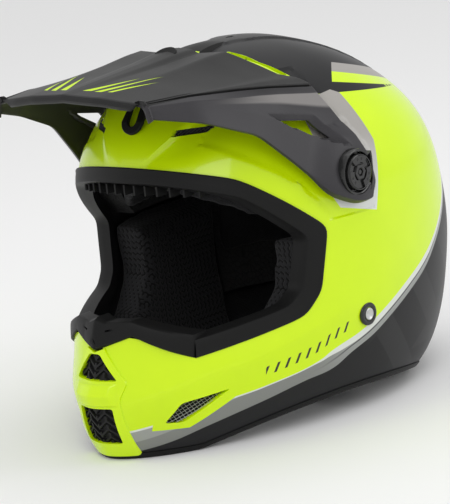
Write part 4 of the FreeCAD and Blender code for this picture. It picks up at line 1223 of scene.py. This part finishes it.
def makeMouthFrame():
    def bulge(x, z):
        reach = np.abs(x)
        away = np.abs(z - 52)
        blade = (1 - ramp(away, 7.2, 9.6)) * (mouth["bladeProud"] - 2.6 * away / 8)
        return mouth["proud"] + np.maximum(0, blade - mouth["proud"]) * (1 - ramp(reach, 15, 21))
    outline = rounded(fullOutline(mouth["outline"]), 3)
    surround = chinPanel("mouthFrame", outline, mouth["proud"], 4.0, bulge, 60, 110)
    for half in (mouth["upper"], mouth["lower"]):
        hole = rounded(fullOutline(half), 2.2)
        combine(surround, prism("holeTool", hole, "front", -260, -100))
    combine(surround, prism("tipTool", offsetOutline(fullOutline([(0.1, 82.4), (28, 92.4), (28, 104)]), 0.4),
                          "front", -260, -120))
    modify(surround, "BEVEL", width=0.6 * mm, segments=2, limit_method="ANGLE", angle_limit=math.radians(50))
    hand(surround, "helmet", yellowGloss, "mouth_vent_frame", 30)


def makeMouthGrille(name, half, node):
    # treads: slanted bars that meet at upright ribs, standing on a thin plate
    outline = offsetOutline(fullOutline(half), 0.5)

    def bulge(x, z):
        row, column = 6.4, 7.6
        cell = (x + 100 * column) % column - column / 2
        lean = np.where(np.floor((x + 100 * column) / column) % 2 > 0, 1, -1)
        height = (z + cell * lean * 0.8) % row - row / 2
        bar = np.abs(height) < 1.15
        rib = (np.abs(cell) > column / 2 - 0.9) & (np.abs((z + 2) % row - row / 2) < 2.4)
        return np.where(bar | rib, -1.0, -3.4)
    plate = chinPanel(name, outline, -3.4, 4.4, bulge, 110, 90)
    hand(plate, "helmet", grilleBlack, node, 30)


makeMouthFrame()
makeMouthGrille("mouthGrilleUpper", mouth["upper"], "mouth_vent_grille_upper")
makeMouthGrille("mouthGrilleLower", mouth["lower"], "mouth_vent_grille_lower")
print("mouth vent is built")


# ---- wire nets behind the vents

net = {"pitch": 2.3, "wire": 0.62, "fine": 1.8, "fineWire": 0.5}


def wireNet(name, outline, skin, pitch, wire, material, node, slant=45.0):
    # crossed wires clipped to an outline; skin(a, b) gives the place of a point on the outline's plane
    a, b = np.array(outline, float).T
    middleA, middleB = (a.min() + a.max()) / 2, (b.min() + b.max()) / 2
    reach = 0.5 * math.hypot(a.max() - a.min(), b.max() - b.min()) + pitch
    cells = max(4, int(2 * reach / pitch))
    turn = math.radians(slant)

    def place(u, v):
        p, q = (u * 2 - 1) * reach, (v * 2 - 1) * reach
        return skin(middleA + p * math.cos(turn) - q * math.sin(turn),
                    middleB + p * math.sin(turn) + q * math.cos(turn))
    mesh = gridPiece(name, cells, cells, place)
    flat = np.linspace(-reach, reach, cells + 1)
    editing = bmeshFrom(mesh)
    doomed = []
    for vertex, (p, q) in zip(editing.verts, [(p, q) for q in flat for p in flat]):
        s = middleA + p * math.cos(turn) - q * math.sin(turn)
        t = middleB + p * math.sin(turn) + q * math.cos(turn)
        if distanceInside(outline, s, t) < -pitch * 0.55:
            doomed.append(vertex)
    bmesh.ops.delete(editing, geom=doomed, context="VERTS")
    editing.to_mesh(mesh.data)
    editing.free()
    modify(mesh, "WIREFRAME", thickness=wire * mm, use_replace=True, use_even_offset=False)
    return hand(mesh, "helmet", material, node, 30)


def bmeshFrom(piece):
    editing = bmesh.new()
    editing.from_mesh(piece.data)
    editing.verts.ensure_lookup_table()
    return editing


for sign, node in ((1, "side_vent_mesh_left"), (-1, "side_vent_mesh_right")):
    wireNet(node.replace("_", ""), offsetOutline(shell["sideVent"], 0.6),
            lambda y, z: (sign * sideX(y, z, 2.6), y, z), net["pitch"], net["wire"], silverMesh,
            node, 30)
browNets = []
for sign in (1, -1):
    outline = shell["browSlot"] if sign > 0 else mirrored(shell["browSlot"])
    browNets.append(wireNet("browNet", offsetOutline(outline, 0.6), lambda x, z: (x, frontY(x, z, 3.0), z),
                            net["fine"], net["fineWire"], darkMesh, ()))
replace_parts(join("browNets", *browNets), "brow_vent_mesh")


# ---- crown vents: a raised blade of yellow round each net, and the duct between them

crown = {"rim": [(21, -72.5), (27.5, -58.5), (56, -56.5), (77.5, -46.5), (82.5, -51), (79.5, -59.5),
                 (39, -71.5)],
         "hole": [(26, -67.5), (30.5, -61), (55.5, -59.8), (73.5, -49.8), (76, -51.5), (73.5, -56),
                  (39.5, -67.5)],
         "proud": 2.9, "inwards": 4.6}


def makeCrownVents():
    nets = []
    for sign, node in ((1, "crown_vent_surround_left"), (-1, "crown_vent_surround_right")):
        def place(u, v):
            x, y = 18 + u * 68, -77 + v * 34
            rim = distanceInside(crown["rim"], x, y)
            proud = crown["proud"] * ramp(rim, -0.6, 3.2) * (0.55 + 0.45 * ramp(x, 22, 50))
            return sign * x, y, topZ(x, y, 0.0) + proud
        blade = gridPiece("crownBlade", 76, 40, place)
        faceAwayFrom(blade, 0, -40, 150)
        modify(blade, "SOLIDIFY", thickness=crown["inwards"] * mm, offset=-1, use_rim=True)
        flip = mirrored if sign < 0 else list
        combine(blade, prism("rimTool", rounded(flip(crown["rim"]), 2.5), "top", 150, 320), "INTERSECT")
        combine(blade, prism("holeTool", rounded(flip(crown["hole"]), 1.6), "top", 150, 320))
        hand(blade, "helmet", yellowGloss, node, 30)
        nets.append(wireNet("crownNet", flip(crown["hole"]), lambda x, y: (x, y, topZ(x, y, 0.9)),
                            net["fine"], 0.7, silverMesh, ()))
    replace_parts(join("crownNets", *nets), "crown_vent_mesh")


def makeCrownDuct():
    # a hood with an open mouth, falling back onto the crown
    def place(u, v):
        step = np.rint(v * 11).astype(int) % 11
        inner = step >= 6
        turn = np.where(inner, 10 - step, step) / np.where(inner, 4, 5) * math.pi
        back = u
        width = (17.5 - 7.5 * back) - inner * 2.2
        x = -np.cos(turn) * width
        y = -81.5 + back * 51 + np.abs(x / 18) ** 2 * 6 * (1 - back)
        ground = topZ(x, y, 1.0)
        height = (7.6 * (1 - back) ** 0.8 + 0.6) * np.sin(turn) ** 0.55
        z = ground + np.where(inner, height - 1.8 * np.sin(turn), height)
        return x, y, z
    hood = closeUp(gridPiece("crownDuct", 34, 11, place), 0.01)
    hand(hood, "helmet", [yellowGloss, trimRubber], "crown_duct", 34)
    hood.data.polygons.foreach_set("material_index", (readCentres(hood)[1] >= -76).astype(np.int32))


makeCrownVents()
makeCrownDuct()
rear = []
for sign in (1, -1):
    outline = shell["rearVent"] if sign > 0 else mirrored(shell["rearVent"])
    rear.append(wireNet("rearNet", offsetOutline(outline, 0.6), lambda x, z: (x, rearY(x, z, 2.4), z),
                        2.6, 0.9, darkMesh, (), 0))
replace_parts(join("rearNets", *rear), "rear_vent_grilles")
print("crown, brow and rear vents are in")


# ---- bead along the shell's lower edge

def makeBaseTrim():
    profile = [(0.2, 5.2), (4.6, 4.9), (5, 4), (5, 0.2), (4.7, -0.9), (3.4, -1), (1, -1), (0.2, -0.5),
               (0, 0.4), (0, 4.4)]
    count = len(profile)

    def place(u, v):
        step = np.rint(v * count).astype(int) % count
        up = np.array([point[0] for point in profile])[step]
        depth = np.array([point[1] for point in profile])[step]
        turn = (u + 0.25) * math.tau
        x, y = roundTheHelmet(turn, up, depth)
        z = archLift(y) + up
        x, y = roundTheHelmet(turn, z, depth)
        return x, y, z
    bead = closeUp(gridPiece("baseTrim", 240, count, place), 0.02)
    hand(bead, "helmet", trimRubber, "base_trim", 34)


makeBaseTrim()


# ---- strap rivets: a dished head in a black ring

rivet = {"y": -33.0, "z": 76.0, "ring": 8.9}


def spun(name, profile, centre, axis, steps=48):
    # a profile of (out, radius) spun round an axis through a centre
    axis = Vector(axis).normalized()
    side = axis.orthogonal().normalized()
    up = axis.cross(side)
    rings = []
    for out, radius in profile:
        ring = []
        for step in range(steps):
            turn = step * math.tau / steps
            spot = Vector(centre) + axis * out + (side * math.cos(turn) + up * math.sin(turn)) * radius
            ring.append(tuple(spot))
        rings.append(ring)
    return ringPiece(name, rings)


def makeRivets():
    heads, rings = [], []
    for sign in (1, -1):
        x = float(sideX(rivet["y"], rivet["z"]))
        centre, axis = (sign * x, rivet["y"], rivet["z"]), (sign, -0.03, -0.02)
        heads.append(spun("rivetHead", [(-3, 0.05), (-3, 4.2), (1.1, 4.6), (1.8, 4.5), (2.0, 4.0), (1.7, 3.2),
                                        (1.2, 2.0), (1.0, 0.05)], centre, axis))
        radius = rivet["ring"]
        rings.append(spun("rivetRing", [(-2, 4.7), (-2, radius - 0.4), (0.5, radius), (1.3, radius - 0.4),
                                        (1.75, radius - 1.4), (1.7, 6.2), (1.3, 5.2), (0.6, 4.75)],
                          centre, axis))
    hand(join("rivetHeads", *heads), "helmet", steel, "strap_rivets", 30)
    hand(join("rivetRings", *rings), "helmet", blackGloss, "rivet_rings", 30)


makeRivets()


# ---- screw that holds the peak's tongue

def makeCentreScrew():
    angle = math.radians(slotTab["screwAt"])
    axis = (0, -math.cos(angle), math.sin(angle))
    foot = slotTab["radius"] + slotTab["half"]
    centre = (0, pivot["y"] + axis[1] * foot, pivot["z"] + axis[2] * foot)
    head = spun("centreScrewHead", [(-9, 0.05), (-9, 2.3), (0.1, 2.3), (0.1, 8.2), (0.6, 8.7), (2.2, 8.6),
                                    (3.2, 7.9), (3.6, 6.8), (3.6, 3.6), (2.2, 3.3), (2.2, 0.05)],
                centre, axis)
    hand(head, "screw_centre", blackGloss, "centre_screw", 30)


makeCentreScrew()
print("rivets, base trim and centre screw are in")


# ---- linings: padded cloth that swells from the shape it was cut to

lining = {
    # node: voxel, how far the cloth starts inside its outline, the most that it may swell, cloth, fill
    "pads": {"cheek_pad_left": (4.0, 2.2, 4.5, "spacer", 0.7),
             "cheek_pad_right": (4.0, 2.2, 4.5, "spacer", 0.7),
             "comfort_liner": (5.0, 1.2, 3.0, "jersey", 0.5), "neck_roll": (4.5, 2.0, 5.0, "jersey", 0.8),
             "strap_sleeve": (2.4, 0.6, 1.6, "jersey", 0.6)},
    "pressure": 4.0, "frames": 20, "spacerPitch": 4.6, "jerseyPitch": 1.7}


def makeCloth(name, dark, light, pitch, depth, share):
    # a knitted net: rounded holes at one pitch, whichever way the cloth faces
    cloth = Finish(name, Sheen_Weight=0.06, Sheen_Roughness=0.5, Specular_IOR_Level=0.2)
    x, y, z = cloth.place()

    def crossing(a, b):
        return a.wave(pitch) * (b + pitch / 4).wave(pitch)
    knit = crossing(x, y) + crossing(y, z) + crossing(z, x)
    hole = knit.edge(share, share + 0.7)
    thread = cloth.noise(900, 3)
    cloth.bump(thread * 0.25 - hole, depth)
    cloud = cloth.noise(26, 3)
    fleck = cloth.mix(cloud * 0.5 + thread * 0.5, light, [part * 1.5 for part in light])
    colour = cloth.mix(hole, fleck, dark)
    return cloth.feed(Base_Color=colour, Roughness=0.78 + thread * 0.15)


clothFor = {
    # the spacer's light tone is set darker than the cloth itself, as painted shade for the pads that sit deep
    # inside the helmet
    "spacer": makeCloth("spacerCloth", grey(0.002), (0.013, 0.013, 0.014), lining["spacerPitch"], 0.6, 0.15),
    "jersey": makeCloth("jerseyCloth", grey(0.003), (0.010, 0.010, 0.011), lining["jerseyPitch"], 0.25, 0.3)}


def swell(piece, most):
    # cloth blown up a little by its filling, each point moving no further than it may
    start = readPoints(piece)
    pick(piece)
    cloth = piece.modifiers.new("Cloth", "CLOTH")
    settings = cloth.settings
    settings.quality = 4
    settings.use_pressure = True
    settings.uniform_pressure_force = lining["pressure"]
    settings.tension_stiffness = settings.compression_stiffness = 12
    settings.effector_weights.gravity = 0
    cloth.point_cache.frame_end = lining["frames"]
    for step in range(1, lining["frames"] + 1):
        scene.frame_set(step)
    bpy.ops.object.modifier_apply(modifier=cloth.name)
    scene.frame_set(1)
    end = readPoints(piece)
    move = [b - a for a, b in zip(start, end)]
    length = np.sqrt(sum(part * part for part in move))
    keep = np.minimum(1, most / np.maximum(length, 1e-6))
    putPoints(piece, *[a + part * keep for a, part in zip(start, move)])


def makePad(node):
    voxel, inset, most, cloth, fill = lining["pads"][node]
    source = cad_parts[node]
    pad = source.copy()
    pad.data = source.data.copy()
    for key in list(pad.keys()):
        del pad[key]
    pad.parent = None
    pad.name = pad.data.name = node.replace("_", " ").title().replace(" ", "")
    scene.collection.objects.link(pad)
    editAll(pad, lambda: bpy.ops.mesh.remove_doubles(threshold=0.01 * mm))
    modify(pad, "REMESH", mode="VOXEL", voxel_size=voxel * mm)
    modify(pad, "SMOOTH", factor=0.5, iterations=3)
    moveAlongNormals(pad, -inset)
    swell(pad, most)
    modify(pad, "SMOOTH", factor=0.5, iterations=2)
    modify(pad, "SUBSURF", levels=1)
    hand(pad, "helmet" if node != "strap_sleeve" else "chin_strap",
         clothFor[cloth], node, 80)


for node in lining["pads"]:
    makePad(node)
print("linings are sewn and filled")


# ---- chin strap: flat webbing, folded back and sewn

strap = {"y": -33.0, "width": 20.0, "thick": 2.0,
         "left": [(105.4, 69), (95, 26), (74, 10), (59, 10), (59, 22), (74, 22)], "leftBends": [25, 20, 2, 2],
         "right": [(-105.4, 69), (-95, 26), (-74, 10), (55, 10), (55, 22), (4, 22)],
         "rightBends": [25, 20, 4, 4]}


def strapLine(corners, bends):
    points = [Vector(corner) for corner in corners]
    line = [points[0]]
    for before, corner, after, radius in zip(points, points[1:], points[2:], bends):
        inwards, outwards = (corner - before).normalized(), (after - corner).normalized()
        turn = inwards.angle(outwards)
        room = 0.49 * min((corner - before).length, (after - corner).length)
        reach = min(radius * math.tan(turn / 2), room)
        start, end = corner - inwards * reach, corner + outwards * reach
        bow = 1 / math.cos(turn / 2)
        for step in range(9):
            share = step / 8
            weight = 2 * share * (1 - share) / bow
            total = (1 - share) ** 2 + weight + share ** 2
            line.append((start * (1 - share) ** 2 + corner * weight + end * share ** 2) / total)
    line.append(points[-1])
    fine = []
    for a, b in zip(line, line[1:]):
        count = max(1, int((b - a).length / 2.5))
        fine += [a + (b - a) * step / count for step in range(count)]
    return fine + [line[-1]]


def makeStrap(side):
    line = np.array(strapLine(strap[side], strap[side + "Bends"]))
    ahead = np.gradient(line, axis=0)
    ahead /= np.linalg.norm(ahead, axis=1)[:, None]
    aside = np.stack([-ahead[:, 1], ahead[:, 0]], axis=1)
    half, thick = strap["width"] / 2, strap["thick"] / 2
    # across the webbing: a flat middle with rolled selvedges and a slight dip inside them
    edge = [(0, 0.0), (0.15, 0.6), (0.7, 1.0), (1.9, 0.94), (2.6, 0.82)]
    profile = [*[(y - half, out) for y, out in edge], (0, 0.86), *[(half - y, out) for y, out in edge[::-1]]]
    profile += [(y, -out) for y, out in profile[-2:0:-1]]
    count = len(profile)

    def place(u, v):
        k = np.rint(u * (len(line) - 1)).astype(int)
        step = np.rint(v * count).astype(int) % count
        y, out = np.array(profile)[step].T
        return line[k, 0] + aside[k, 0] * out * thick, strap["y"] + y, line[k, 1] + aside[k, 1] * out * thick
    webbing = closeUp(gridPiece("strap" + side.title(), len(line) - 1, count, place), 0.01)
    hand(webbing, "chin_strap", webbingCloth, "chin_strap_" + side, 50)


def makeWebbing():
    # ribs along the strap, crossed by slanted threads
    cloth = Finish("webbingCloth", Sheen_Weight=0.2, Sheen_Roughness=0.4, Specular_IOR_Level=0.3)
    x, y, z = cloth.place()
    ribs = y.wave(1.9)
    threads = (x + z + abs(ribs) * 0.5).wave(1.15)
    thread = cloth.noise(1100, 2)
    weave = ribs * 0.5 + threads * 0.5
    cloth.bump(weave + thread * 0.4, 0.16)
    stitch = ((y + 33).math("PINGPONG", 7.2) - 6.6).edge(-0.1, 0.1) & (x + z).wave(3.4).edge(-0.1, 0.1)
    sewn = stitch & (1 - (abs(x - 84) - 9).edge(-0.2, 0.2))
    base = cloth.mix(weave * 0.5 + 0.5, (0.010, 0.010, 0.011), (0.034, 0.034, 0.036))
    return cloth.feed(Base_Color=cloth.mix(sewn, base, (0.11, 0.11, 0.11)), Roughness=0.7 + thread * 0.15)


webbingCloth = makeWebbing()
makeStrap("left")
makeStrap("right")
print("chin strap is woven and folded")


# ---- CAD parts that keep their own shape and get a finish

def makeFoam():
    # moulded beads, packed close
    foam = Finish("foamBeads", Specular_IOR_Level=0.3)
    foam.place()
    beads = foam.add("ShaderNodeTexVoronoi", {"feature": "DISTANCE_TO_EDGE"},
                     {"Vector": foam.where, "Scale": 260.0}, "Distance")
    dark = beads.edge(0.0, 0.12)
    foam.bump(dark, 0.25)
    cloud = foam.noise(40, 3)
    return foam.feed(Base_Color=foam.mix(dark * 0.7 + cloud * 0.3, grey(0.008), grey(0.026)),
                     Roughness=0.75 + cloud * 0.12)


finishes = {"impact_liner": makeFoam(), "chin_bar_liner": clothFor["jersey"],
            "visor_inserts": makeMetal("brass", (0.42, 0.30, 0.12), (0.55, 0.40, 0.18), 0.34),
            "d_rings": steel, "strap_hangers": steel, "snap_cap": blackGloss, "snap_socket": steel,
            "liner_snaps": grilleBlack}
finishes["centre_insert"] = finishes["visor_inserts"]
for name, material in finishes.items():
    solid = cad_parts[name]
    solid.data.materials.clear()
    solid.data.materials.append(material)
print("carried-over parts are finished")


# ---- the corners of a box, as lists

def corners(box):
    return [list(corner) for corner in box]
